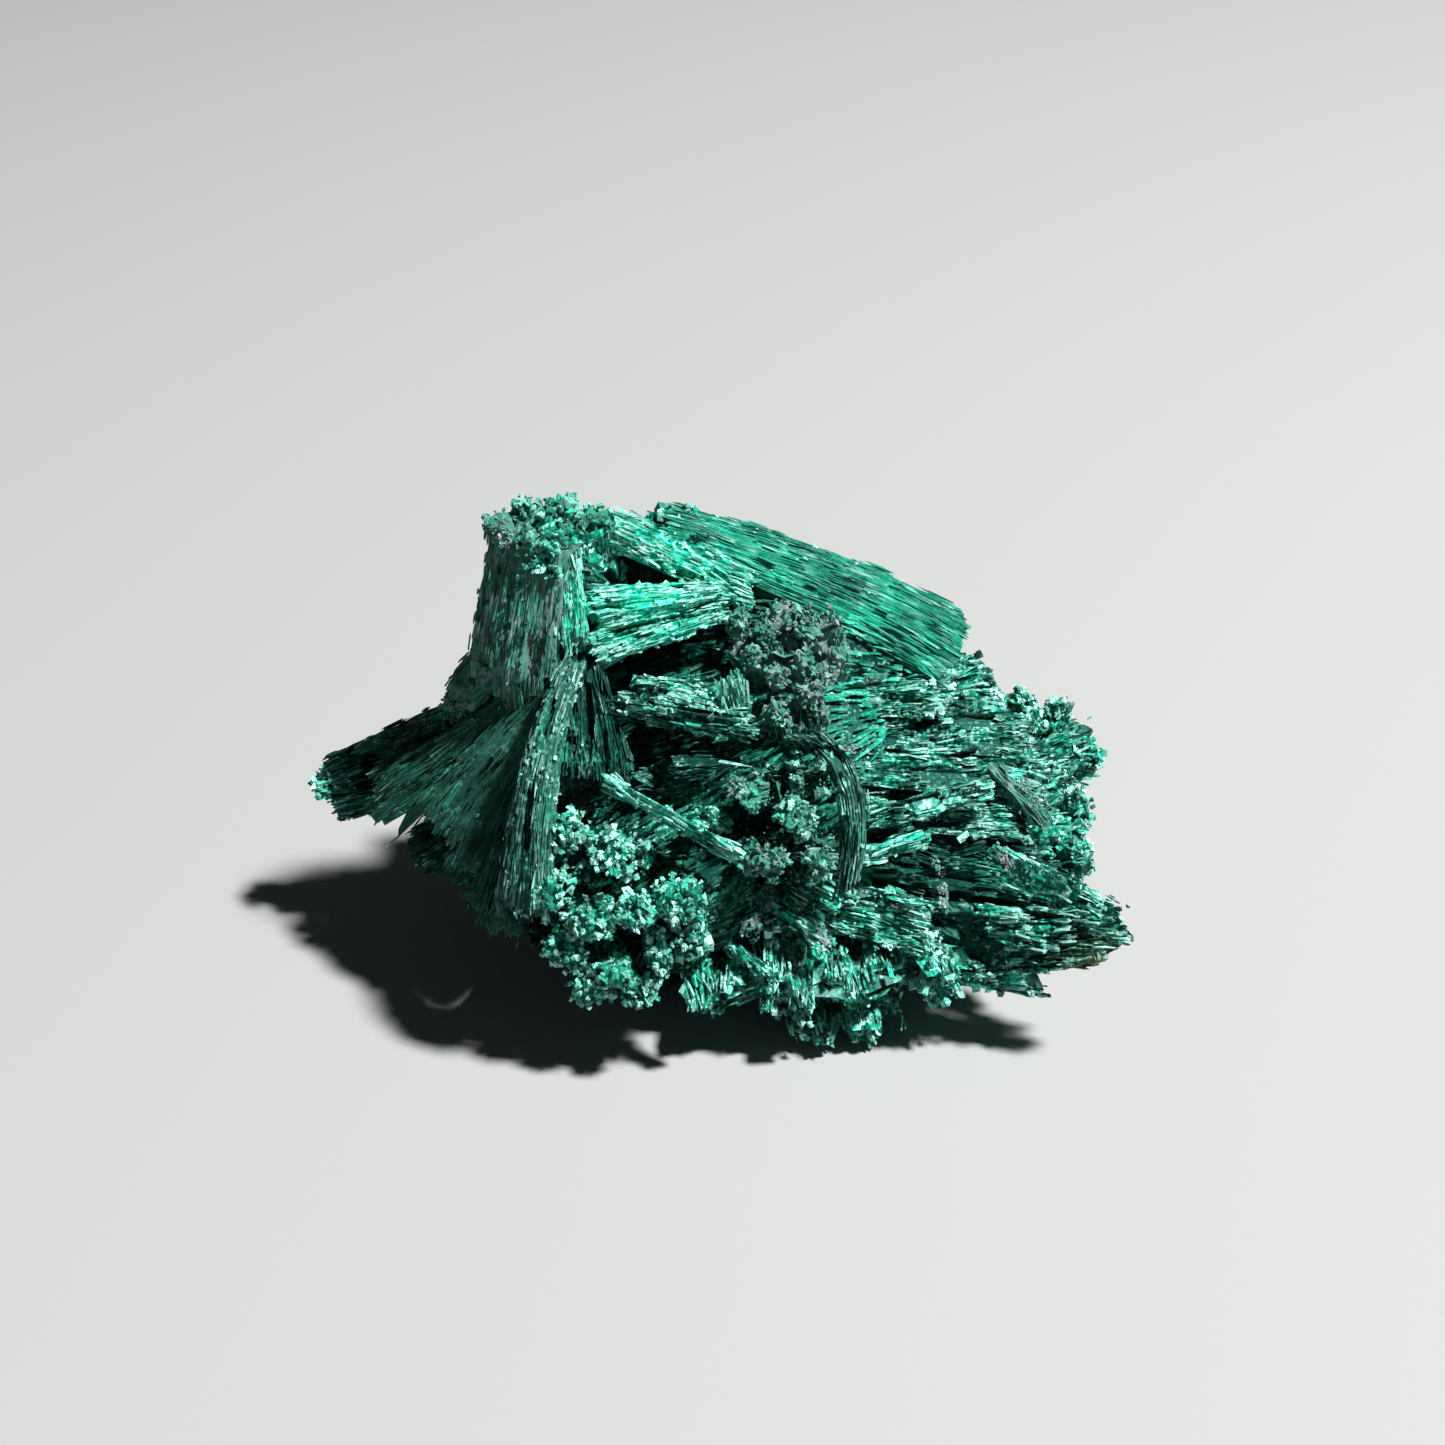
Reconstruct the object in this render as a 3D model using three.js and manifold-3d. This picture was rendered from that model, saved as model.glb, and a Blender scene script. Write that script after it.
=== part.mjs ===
// A hand-sized cluster of fibrous malachite: one solid of grown-together crystal bundles.
// Millimetres, +Z up, +X to the right and +Y away from whoever looks at the front.
// The origin is under the middle of the cluster, on the surface that it stands on.
import * as THREE from 'three';
import { mergeVertices } from 'three/addons/utils/BufferGeometryUtils.js';
import Module from 'manifold-3d';

// Driving dimensions
const GROOVE = 0.5; // height left in the groove between two bundles, as a share of the ridge
const EDGE_DROP = 0.5; // how much lower the outer ridges of a sheet are than the middle ones
const STRAY = 0.13; // how far a corner strays from its place, as a share of the sheet's size
const LUMP_STRAY = 0.3; // how far a lump's corners stray, as a share of its radius
const LUMP_STRETCH = 0.2; // how much longer or shorter a lump is each way, as a share of its radius
const HEART_STRAY = 0.07; // the same for the hearts
const GROUND_BLOCK = 200; // side of the block that cuts the underside flat
const HEART = [0, 0, 14]; // the point that the grooved faces of all sheets look away from

const MALACHITE = { color: 0x1f7f62, roughness: 0.55, metalness: 0 };

// Massive malachite inside the cluster, which every sheet grows out of: centre and radii.
const HEARTS = [
  { name: 'middle', centre: [1, 3, 13], radii: [16, 12, 11] },
  { name: 'column', centre: [-10.5, 1, 21], radii: [5, 5, 13.5] },
  { name: 'crest', centre: [5, 6, 20], radii: [12.5, 6, 7] },
  { name: 'right', centre: [16, 0, 9.5], radii: [9.5, 9, 5.6] },
  { name: 'front', centre: [-3, -7, 10], radii: [9, 8, 7] },
];

// Sheets of crystal bundles. root and tip are the ends of a sheet's middle line, and side is
// the way that its width runs. width and thick are its size at the tip, and taper is the share
// of them left at the root. across counts its bundles, ragged is how unevenly they end, crown
// how far the outer ones fall short, and bow bends the middle line.
const SHEETS = [
  // The left flank, a curtain of fibres that falls from the peak
  { name: 'curtain', root: [-11.5, 0, 35.2], tip: [-13.8, -3.8, 21.6], side: [0.85, -0.5, 0.1],
    width: 7.6, thick: 5.6, taper: 0.9, across: 6, ragged: 0.07 },
  { name: 'peak', root: [-10, 3, 24], tip: [-10.4, 1.6, 35.4], side: [0.95, 0.1, 0],
    width: 8, thick: 6, taper: 1.1, across: 3, ragged: 0.06 },
  { name: 'rib', root: [-9.6, -2.4, 34.2], tip: [-9.2, -4.4, 26.2], side: [0.9, 0.3, 0],
    width: 2.8, thick: 2.4, taper: 1.1, across: 2, ragged: 0.06 },
  { name: 'shoulder', root: [-13.4, -1, 26.2], tip: [-18.6, -0.8, 20.4], side: [0.4, -0.85, 0.2],
    width: 5, thick: 3.4, taper: 0.8, across: 3, ragged: 0.1 },
  { name: 'arm', root: [-13, 1, 17.8], tip: [-29.3, 3, 10.7], side: [0.1, -0.6, -0.8],
    width: 5, thick: 4.2, taper: 1.7, across: 3, ragged: 0.05 },
  { name: 'far tongue', root: [-10.4, -4.4, 25.4], tip: [-24.6, -3, 12.2], side: [0.5, -0.75, -0.4],
    width: 5.6, thick: 2.6, taper: 0.3, across: 3, ragged: 0.1 },
  { name: 'second tongue', root: [-10.4, -5, 25.4], tip: [-19.8, -7.4, 13.4], side: [0.5, -0.75, -0.4],
    width: 6, thick: 2.6, taper: 0.3, across: 4, ragged: 0.09 },
  { name: 'third tongue', root: [-11, -6.4, 23], tip: [-18.6, -9.4, 10.8], side: [0.6, -0.7, -0.3],
    width: 4.6, thick: 2.4, taper: 0.35, across: 3, ragged: 0.1 },
  { name: 'near tongue', root: [-11, -8, 21], tip: [-15.4, -13, 8.6], side: [0.7, -0.6, -0.3],
    width: 5.2, thick: 2.6, taper: 0.35, across: 4, ragged: 0.08 },
  { name: 'flank foot', root: [-9, -2, 16], tip: [-18.9, -6.2, 7.6], side: [0.5, -0.8, -0.2],
    width: 12, thick: 4, taper: 0.6, across: 5, ragged: 0.1 },
  { name: 'flank skirt', root: [-10, -1, 14], tip: [-22.8, -2.8, 8.2], side: [0.3, -0.9, -0.3],
    width: 5, thick: 3, taper: 0.6, across: 3, ragged: 0.08 },
  { name: 'flank behind', root: [-9, 3, 20], tip: [-21, 5.4, 10], side: [0.4, 0.9, -0.2],
    width: 8, thick: 4, taper: 0.5, across: 3, ragged: 0.14 },
  // The cone of fibres that spreads from the knot under the peak
  { name: 'cone ridge', root: [-8.6, -4.6, 27.4], tip: [-12.4, -16, 11.4], side: [0.9, -0.2, 0.3],
    width: 4.4, thick: 3.6, taper: 0.35, across: 2, ragged: 0.04, bow: [-0.7, -1.2, 2.2] },
  { name: 'cone left', root: [-8.8, -4.8, 27], tip: [-13.8, -12.2, 12.6], side: [0.7, -0.6, 0],
    width: 5, thick: 3, taper: 0.3, across: 4, ragged: 0.08 },
  { name: 'cone right', root: [-8.3, -4.8, 27.2], tip: [-7.4, -10.4, 18.6], side: [0.97, 0.2, 0],
    width: 6.4, thick: 3, taper: 0.3, across: 5, ragged: 0.08 },
  // The front left, where the bundles end in a heap of crumbs
  { name: 'heap', root: [-6, -8, 12], tip: [-7.4, -14.4, 16.6], side: [0.97, -0.1, 0.15],
    width: 7, thick: 6, taper: 0.8, across: 4, ragged: 0.1 },
  { name: 'heap ledge', root: [-8, -8, 12], tip: [-10.6, -16.4, 12.6], side: [0.8, -0.4, -0.3],
    width: 6, thick: 4, taper: 0.7, across: 3, ragged: 0.08 },
  { name: 'heap foot', root: [-5, -8, 9], tip: [-7.6, -17.4, 8.8], side: [0.85, -0.3, -0.3],
    width: 8, thick: 3.6, taper: 0.6, across: 4, ragged: 0.06 },
  { name: 'heap underside', root: [-5, -6, 8], tip: [-12, -13.6, 7.8], side: [0.7, -0.7, 0],
    width: 6, thick: 3, taper: 0.8, across: 3, ragged: 0.1 },
  { name: 'heap right', root: [-2, -7, 11], tip: [-2.4, -16.6, 11.6], side: [0.9, 0, -0.3],
    width: 6, thick: 5, taper: 0.6, across: 3, ragged: 0.12 },
  { name: 'prong', root: [-1.4, -14, 12], tip: [0, -17.9, 5.5], side: [1, 0, 0],
    width: 2, thick: 1.6, taper: 1.1, across: 1, ragged: 0 },
  // Loose-looking blades across the dark middle
  { name: 'long splinter', root: [-7.4, -10.6, 20.6], tip: [2.8, -15.8, 17.1], side: [0.3, -0.5, 0.8],
    width: 1.8, thick: 1.5, taper: 0.8, across: 1, ragged: 0 },
  { name: 'bright shelf', root: [4.4, -6, 21.4], tip: [-7.2, -6.8, 24], side: [0.1, -0.6, 0.8],
    width: 2.6, thick: 2, taper: 0.9, across: 2, ragged: 0.05 },
  { name: 'inner shelf', root: [4, -3, 21.6], tip: [-5.2, -4.6, 24.3], side: [0.1, -0.95, 0.1],
    width: 4, thick: 1.8, taper: 0.8, across: 2, ragged: 0.08 },
  { name: 'leaf', root: [2.4, -4.4, 21], tip: [1.7, -4.3, 25.2], side: [0.9, 0, 0.3],
    width: 2.4, thick: 1.1, taper: 0.9, across: 1, ragged: 0 },
  { name: 'pocket blades', root: [2.4, -4, 16.6], tip: [-4.6, -9.4, 19.8], side: [0.3, -0.5, 0.8],
    width: 5.4, thick: 3, taper: 0.8, across: 3, ragged: 0.12 },
  { name: 'wedge', root: [1, -9, 15], tip: [-0.9, -13.2, 19], side: [0.9, 0.2, 0.3],
    width: 3, thick: 1.8, taper: 0.9, across: 2, ragged: 0.08 },
  { name: 'low blades', root: [3, -6, 12], tip: [-2.6, -14.2, 15.2], side: [0.8, -0.5, -0.3],
    width: 6, thick: 2.6, taper: 0.8, across: 3, ragged: 0.16 },
  // The level bundles under the crest, broken off at the left
  { name: 'level bundles', root: [-0.2, 0.2, 26.6], tip: [-9.2, -3, 28], side: [0.05, -0.75, -0.66],
    width: 6.4, thick: 5.4, taper: 0.9, across: 5, ragged: 0.06 },
  { name: 'upper bundles', root: [4.4, 3.4, 27.2], tip: [-8.4, 3.4, 33.8], side: [0.1, -0.85, -0.45],
    width: 3.8, thick: 3, taper: 0.9, across: 3, ragged: 0.06 },
  { name: 'pit wall', root: [-3.4, 6.6, 20], tip: [-4, 6, 31.4], side: [1, 0, 0.1],
    width: 9, thick: 3.4, taper: 0.9, across: 3, ragged: 0.04 },
  // The crest, one long silky bundle that ends in a rounded nose
  { name: 'crest', root: [-4.8, 7.6, 30.9], tip: [19.6, 6.2, 20.2], side: [0.02, -0.9, -0.42],
    width: 8, thick: 5.4, taper: 0.6, across: 5, ragged: 0.02, bow: [0, 0, 1] },
  { name: 'crest back', root: [-2.6, 9, 30.6], tip: [15, 8.6, 22.8], side: [0.02, -0.95, 0.1],
    width: 4, thick: 4.2, taper: 0.8, across: 2, ragged: 0.06 },
  { name: 'crest tail', root: [6, 1, 20.6], tip: [18.6, 2.4, 20], side: [0.1, -0.9, -0.4],
    width: 5.4, thick: 2.8, taper: 0.7, across: 3, ragged: 0.08 },
  { name: 'nose', root: [13, 5, 15], tip: [22.6, 6.4, 18.1], side: [0, 0.85, 0.5],
    width: 7.4, thick: 4.6, taper: 0.8, across: 3, ragged: 0.05, crown: 0.06 },
  { name: 'grey wall', root: [8, 4, 16], tip: [5.6, -1.4, 27.2], side: [0.95, 0.2, -0.1],
    width: 8.4, thick: 6.4, taper: 0.85, across: 4, ragged: 0.03 },
  { name: 'grey foot', root: [7, 0, 15], tip: [6.4, -5.6, 23.4], side: [0.95, 0.1, 0.1],
    width: 4.6, thick: 4, taper: 0.9, across: 2, ragged: 0.05 },
  // The mound of fibre ends in the middle of the front, and the blade that bends round it
  { name: 'mound top', root: [6, -3, 15], tip: [5.8, -11, 20.6], side: [0.98, 0.1, 0.1],
    width: 6.6, thick: 4.6, taper: 0.8, across: 4, ragged: 0.06 },
  { name: 'mound', root: [6, -4, 11], tip: [6, -14, 16.2], side: [0.98, 0.1, 0],
    width: 8, thick: 5.4, taper: 0.7, across: 4, ragged: 0.07 },
  { name: 'bent blade', root: [6, -7.6, 22.4], tip: [9.8, -15, 13.6], side: [0.7, -0.5, 0.3],
    width: 2.4, thick: 1.7, taper: 0.9, across: 1, ragged: 0, bow: [2, 0.5, 2.2] },
  // The right side, a stack of shelves that fans out from behind the mound
  { name: 'shelf 1', root: [9, -1, 19.4], tip: [24.6, 2.6, 17.2], side: [-0.1, -0.93, -0.33],
    width: 7.4, thick: 2, taper: 0.6, across: 4, ragged: 0.08 },
  { name: 'shelf 2', root: [9, -4, 18], tip: [25.6, -1, 15.4], side: [-0.1, -0.9, -0.35],
    width: 7, thick: 1.9, taper: 0.6, across: 4, ragged: 0.08 },
  { name: 'shelf 3', root: [9.5, -6, 15.6], tip: [25, -4.4, 14], side: [0.05, -0.93, -0.3],
    width: 7, thick: 1.9, taper: 0.6, across: 4, ragged: 0.1 },
  { name: 'long log', root: [9.4, -10.6, 16.6], tip: [21, -6, 16.8], side: [0.1, -0.4, 0.9],
    width: 2.2, thick: 2.2, taper: 0.9, across: 1, ragged: 0 },
  { name: 'short log', root: [10.4, -11, 14], tip: [16, -9.6, 15], side: [0.1, -0.5, 0.8],
    width: 1.8, thick: 1.8, taper: 0.9, across: 1, ragged: 0 },
  { name: 'shelf 4', root: [10, -7, 12], tip: [24.6, -9, 12], side: [-0.05, -0.92, -0.35],
    width: 7, thick: 2.2, taper: 0.6, across: 4, ragged: 0.12 },
  { name: 'streaks', root: [14, -7, 13], tip: [26.8, -11.4, 9.8], side: [0.4, -0.5, -0.75],
    width: 5.6, thick: 2.6, taper: 0.6, across: 4, ragged: 0.06 },
  { name: 'cross blade', root: [20.6, -3, 17], tip: [25, -7.4, 14], side: [0.6, 0.6, -0.4],
    width: 1.6, thick: 1.4, taper: 0.8, across: 1, ragged: 0 },
  { name: 'pocket floor', root: [10, -7, 11.4], tip: [20, -11.6, 9.4], side: [0.2, -0.8, -0.5],
    width: 5, thick: 2.4, taper: 0.7, across: 3, ragged: 0.14 },
  { name: 'tip blade', root: [11, -11, 7], tip: [29.8, -15.8, 10.6], side: [0.1, -0.45, -0.9],
    width: 3.6, thick: 2.2, taper: 2, across: 4, ragged: 0.03, crown: 0.13 },
  { name: 'blade foot', root: [12, -9, 5.8], tip: [25.2, -14.8, 7.2], side: [0.3, -0.5, -0.8],
    width: 4.6, thick: 3, taper: 1.2, across: 3, ragged: 0.08 },
  { name: 'rim top', root: [17, 3, 12.8], tip: [30.3, 3.8, 14.2], side: [0.1, 0.93, 0.2],
    width: 7, thick: 4.6, taper: 0.9, across: 3, ragged: 0.04, crown: 0.1 },
  { name: 'rim inside', root: [16, 1, 12], tip: [26.4, 2.6, 14.8], side: [0, 0.95, 0.2],
    width: 6, thick: 3, taper: 0.9, across: 2, ragged: 0.05 },
  { name: 'rim between', root: [16, 0.4, 10.6], tip: [28.6, -0.2, 12], side: [0, 0.93, 0.3],
    width: 5, thick: 4, taper: 0.9, across: 2, ragged: 0.05 },
  { name: 'rim middle', root: [16, -3, 9.4], tip: [29.3, -4.2, 10.8], side: [-0.05, 0.93, 0.3],
    width: 8.4, thick: 4.8, taper: 0.8, across: 4, ragged: 0.04, crown: 0.06 },
  // The lower front, chunks that point down to the surface
  { name: 'bright chunks', root: [6, -7, 11], tip: [8.6, -15.8, 10.4], side: [0.97, 0.1, 0.1],
    width: 12, thick: 3.4, taper: 0.8, across: 5, ragged: 0.1 },
  { name: 'lower chunks', root: [5, -5, 8.6], tip: [5.2, -16.6, 5], side: [1, 0.03, 0.05],
    width: 12, thick: 5, taper: 0.8, across: 5, ragged: 0.1 },
  { name: 'right chunks', root: [13, -5, 8], tip: [16.4, -15.8, 5.8], side: [0.93, 0.3, 0.1],
    width: 11, thick: 4.6, taper: 0.8, across: 5, ragged: 0.1 },
  { name: 'lowest chunks', root: [8, -4, 6], tip: [10.6, -15.9, 1.4], side: [1, 0, 0.05],
    width: 8.4, thick: 3, taper: 0.9, across: 4, ragged: 0.08 },
  // The back and the underside, which grew the same way
  { name: 'back top', root: [-1, 5, 21], tip: [2, 16, 20], side: [0.93, -0.1, -0.36],
    width: 19, thick: 6, taper: 0.7, across: 6, ragged: 0.1 },
  { name: 'back column', root: [-8, 3, 22], tip: [-11, 11.6, 24], side: [0.8, 0.4, 0.1],
    width: 8, thick: 6, taper: 0.7, across: 3, ragged: 0.12 },
  { name: 'back left', root: [-6, 4, 14], tip: [-15, 15, 12.6], side: [0.7, 0.6, 0.3],
    width: 11, thick: 8, taper: 0.5, across: 4, ragged: 0.12 },
  { name: 'back middle', root: [2, 5, 12], tip: [3, 20.6, 13], side: [1, 0, -0.1],
    width: 20, thick: 8, taper: 0.6, across: 6, ragged: 0.12 },
  { name: 'back right', root: [9, 5, 11], tip: [21, 14.6, 9.6], side: [0.6, -0.75, 0.1],
    width: 12, thick: 8, taper: 0.5, across: 4, ragged: 0.12 },
  { name: 'back foot', root: [3, 3, 8], tip: [4, 14, 3.4], side: [1, 0, 0],
    width: 22, thick: 4, taper: 0.7, across: 6, ragged: 0.12 },
  { name: 'left foot', root: [-5, 0, 10], tip: [-12.5, 1, 2], side: [0.1, 1, 0],
    width: 13, thick: 5, taper: 0.7, across: 4, ragged: 0.1 },
  { name: 'right foot', root: [14, 0, 9], tip: [22, -1, 4.4], side: [0.1, 1, 0],
    width: 14, thick: 4, taper: 0.7, across: 4, ragged: 0.12 },
  { name: 'sole', root: [3, -1, 8], tip: [3.6, -2, -2], side: [1, 0, 0],
    width: 21, thick: 19, taper: 0.9, across: 4, ragged: 0.1 },
];

// Crumbly lumps on the broken ends: centre and radius.
const LUMPS = [
  [-12.6, 1.4, 34.6, 1.9], [-10, 1.2, 34.9, 1.9], [-7.7, 2.2, 33.6, 1.6], [-10.4, -1.4, 33.8, 1.5],
  [-18, -1.2, 20.8, 1.4], [-28.5, 3, 11.5, 1.7],
  [-9.4, -13.2, 17.8, 1.8], [-6.4, -14.2, 16.8, 2], [-10.6, -15.6, 14.4, 1.7], [-7.8, -16, 12.6, 1.8],
  [-4.6, -16.2, 13.2, 1.8], [-1.6, -15.8, 13.8, 1.9], [-9.6, -16.4, 10, 1.6], [-6.2, -17, 8.8, 1.7],
  [-3, -16.8, 10, 1.6], [-4.4, -17.6, 7.4, 1.3], [-0.8, -16.6, 10.6, 1.4], [-7.8, -17.2, 7.2, 1.5],
  [2.2, 0.2, 26.9, 1.6], [6, 0.6, 27.3, 1.9], [8.6, 0.6, 26.6, 1.6], [3.6, -3, 25.4, 1.6],
  [7, -3, 25.4, 1.6], [3.4, -11.6, 19.6, 1.4], [6.4, -12.4, 18.4, 1.5], [4.6, -13.8, 15.8, 1.5],
  [8, -13.6, 15.4, 1.4], [-2.6, 8, 31.4, 1.5],
  [24.2, 6.6, 16.2, 1.6], [26.8, 5.6, 15.4, 1.9], [28.4, 2.8, 14.2, 1.9], [27.6, -1.6, 12.2, 1.9],
  [27, -6, 10.8, 1.8], [25, 4.4, 15.9, 1.5],
];

// A number from 0 to 1 that is always the same for the same two whole numbers.
function chance(item, draw) {
  const wave = Math.sin((item + 1) * 12.9898 + (draw + 1) * 78.233) * 43758.5453;
  return wave - Math.floor(wave);
}

const spread = (item, draw) => 2 * chance(item, draw) - 1;
const vector = (numbers) => new THREE.Vector3(...numbers);

// The corners of a three.js geometry as one closed shell with merged vertices.
function closedShell(geometry) {
  geometry.deleteAttribute('normal');
  geometry.deleteAttribute('uv');
  return mergeVertices(geometry, 1e-4);
}

// The corners of a grooved cross-section, from -1 to 1 both ways. Ridges of bundles and the
// grooves between them go across the top, and the bottom is plain.
function grooveCorners(across) {
  const corners = [{ a: -1, b: 0, bundle: 0 }];
  for (let step = 1; step < 2 * across; step++) {
    const a = step / across - 1;
    const ridge = step % 2 === 1;
    const b = (1 - EDGE_DROP * a * a) * (ridge ? 1 : GROOVE);
    corners.push({ a, b, bundle: Math.floor(step / 2) });
  }
  corners.push({ a: 1, b: 0, bundle: across - 1 });
  corners.push({ a: 0.55, b: -0.9, bundle: across - 1 });
  corners.push({ a: -0.55, b: -0.9, bundle: 0 });
  return corners;
}

// One sheet: a row of bundles that widens from root to tip and breaks off unevenly.
function sheetShell(sheet, item) {
  const root = vector(sheet.root);
  const tip = vector(sheet.tip);
  const axis = tip.clone().sub(root).normalize();
  const length = tip.distanceTo(root);
  const side = vector(sheet.side);
  side.addScaledVector(axis, -side.dot(axis)).normalize();
  const normal = new THREE.Vector3().crossVectors(axis, side);
  const outwards = tip.clone().lerp(root, 0.5).sub(vector(HEART));
  if (normal.dot(outwards) < 0) {
    side.negate();
    normal.negate();
  }
  const bow = vector(sheet.bow ?? [0, 0, 0]);
  const corners = grooveCorners(sheet.across);
  const rows = sheet.bow ? 3 : 1;
  const shell = closedShell(new THREE.CylinderGeometry(1, 1, 1, corners.length, rows));
  const place = shell.getAttribute('position');
  for (let k = 0; k < place.count; k++) {
    const u = place.getY(k) + 0.5;
    const centre = Math.hypot(place.getX(k), place.getZ(k)) < 0.5;
    const turn = 1 - Math.atan2(place.getX(k), place.getZ(k)) / (2 * Math.PI);
    const step = Math.round(turn * corners.length) % corners.length;
    const { a, b, bundle } = centre ? { a: 0, b: 0, bundle: 0 } : corners[step];
    const stray = 1 + STRAY * spread(item, 10 + k);
    const size = (sheet.taper + (1 - sheet.taper) * u) * stray;
    const crown = (sheet.crown ?? 0.04) * a * a;
    const short = centre ? 0.5 * sheet.ragged : sheet.ragged * (1.6 * chance(item, 40 + bundle)
      + 0.5 * chance(item, 60 + k));
    const reach = u > 0.99 ? 1 - crown - short : u;
    const point = root.clone()
      .addScaledVector(axis, reach * length)
      .addScaledVector(side, (a * sheet.width * size) / 2)
      .addScaledVector(normal, (b * sheet.thick * size) / 2)
      .addScaledVector(bow, 4 * u * (1 - u));
    place.setXYZ(k, point.x, point.y, point.z);
  }
  return shell;
}

// A ball with uneven facets.
function lumpShell(centre, radii, detail, stray, item) {
  const shell = closedShell(new THREE.IcosahedronGeometry(1, detail));
  const place = shell.getAttribute('position');
  for (let k = 0; k < place.count; k++) {
    const size = 1 + stray * spread(item, k);
    place.setXYZ(k, place.getX(k) * size, place.getY(k) * size, place.getZ(k) * size);
  }
  shell.scale(...radii);
  shell.translate(...centre);
  return shell;
}

const wasm = await Module();
wasm.setup();

function solidOf(shell) {
  return new wasm.Manifold(new wasm.Mesh({
    numProp: 3,
    vertProperties: new Float32Array(shell.getAttribute('position').array),
    triVerts: new Uint32Array(shell.index.array),
  }));
}

function geometryOf(solid) {
  const mesh = solid.getMesh();
  const geometry = new THREE.BufferGeometry();
  geometry.setAttribute('position', new THREE.BufferAttribute(mesh.vertProperties, 3));
  geometry.setIndex(new THREE.BufferAttribute(mesh.triVerts, 1));
  return geometry;
}

// The whole cluster: hearts, sheets and lumps joined in one solid and cut off flat below.
function clusterSolid() {
  const hearts = HEARTS.map(({ centre, radii }, k) => lumpShell(centre, radii, 1, HEART_STRAY, 100 + k));
  const sheets = SHEETS.map(sheetShell);
  const lumps = LUMPS.map(([x, y, z, radius], k) => {
    const radii = [0, 1, 2].map((way) => radius * (1 + LUMP_STRETCH * spread(300 + k, way)));
    return lumpShell([x, y, z], radii, 0, LUMP_STRAY, 200 + k);
  });
  const cluster = wasm.Manifold.union([...hearts, ...sheets, ...lumps].map(solidOf));
  const ground = new THREE.BoxGeometry(GROUND_BLOCK, GROUND_BLOCK, GROUND_BLOCK);
  ground.translate(0, 0, -GROUND_BLOCK / 2);
  return cluster.subtract(solidOf(closedShell(ground)));
}

// The outer surface alone, so that no hollow stays shut inside the stone.
function outerSurface(geometry) {
  const corners = geometry.getAttribute('position');
  const index = geometry.index.array;
  const leader = Array.from({ length: corners.count }, (_, k) => k);
  const leaderOf = (start) => {
    let k = start;
    while (leader[k] !== k) k = leader[k];
    leader[start] = k;
    return k;
  };
  for (let t = 0; t < index.length; t += 3) {
    leader[leaderOf(index[t + 1])] = leaderOf(index[t]);
    leader[leaderOf(index[t + 2])] = leaderOf(index[t]);
  }
  let top = index[0];
  for (const k of index) if (corners.getZ(k) > corners.getZ(top)) top = k;
  const kept = [];
  for (let t = 0; t < index.length; t += 3) {
    if (leaderOf(index[t]) === leaderOf(top)) kept.push(index[t], index[t + 1], index[t + 2]);
  }
  geometry.setIndex(kept);
  return mergeVertices(geometry, 1e-5);
}

const clusterGeometry = outerSurface(geometryOf(clusterSolid()));
clusterGeometry.computeBoundingBox();
const middle = clusterGeometry.boundingBox.getCenter(new THREE.Vector3());
clusterGeometry.translate(-middle.x, -middle.y, -clusterGeometry.boundingBox.min.z);
clusterGeometry.computeVertexNormals();

const cluster = new THREE.Mesh(clusterGeometry, new THREE.MeshStandardMaterial(MALACHITE));
cluster.name = 'malachite_cluster';

const part = new THREE.Group();
part.add(cluster);

export default part;
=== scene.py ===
"""A hand-sized cluster of fibrous malachite, dressed round its packed solid.

Lengths in the tables are millimetres in the solid's own frame: +X to the right, +Y away from
whoever looks at the front, +Z up from the surface that the cluster stands on.
"""

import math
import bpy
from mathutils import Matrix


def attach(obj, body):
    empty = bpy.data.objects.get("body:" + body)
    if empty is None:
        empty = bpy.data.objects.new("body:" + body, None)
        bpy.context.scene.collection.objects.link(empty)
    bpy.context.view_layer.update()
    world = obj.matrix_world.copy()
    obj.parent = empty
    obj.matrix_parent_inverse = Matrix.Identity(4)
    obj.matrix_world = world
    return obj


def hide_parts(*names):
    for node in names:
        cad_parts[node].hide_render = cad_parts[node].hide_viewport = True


bl_info = {
    "name": "Malachite cluster",
    "version": (1, 0, 0),
    "blender": (4, 5, 0),
    "location": "3D View > Sidebar > Malachite",
    "description": "Dresses the packed solid of a fibrous malachite cluster with needles and crumbs",
    "category": "Add Mesh",
}

from types import SimpleNamespace

import bpy
import numpy as np
from bpy.props import FloatProperty, FloatVectorProperty, PointerProperty
from mathutils import Vector

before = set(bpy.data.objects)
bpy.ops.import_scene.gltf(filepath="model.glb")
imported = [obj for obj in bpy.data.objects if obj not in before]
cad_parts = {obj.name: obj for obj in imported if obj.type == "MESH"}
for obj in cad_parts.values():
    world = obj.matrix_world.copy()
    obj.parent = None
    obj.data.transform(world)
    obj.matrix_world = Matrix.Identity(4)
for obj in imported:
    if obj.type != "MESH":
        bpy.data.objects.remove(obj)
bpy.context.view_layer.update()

NODE = "malachite_cluster"
MM = 0.001
NEEDLES_IN_BLOCK = 14
SHARE_BESIDE, SHARE_BELOW = 0.18, 0.16
CORE_SEED, FIBRE_SEED, CRUMB_SEED, MARK_SEED = 11, 100, 400, 500

# Needles less than CLEAR_OF_FLOOR above the floor are left out, and so is what lies deeper in other
# stone than its margin, for needles on sheets, needles on hearts and chips
CLEAR_OF_FLOOR = 0.1
SHEET_MARGIN, HEART_MARGIN, CHIP_MARGIN = 0.45, 0.35, 0.15

# How far the tables' own origin lies from the solid's, which is under the middle of its box
SHIFT = np.array([0.131, -0.444, 0.0])

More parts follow.
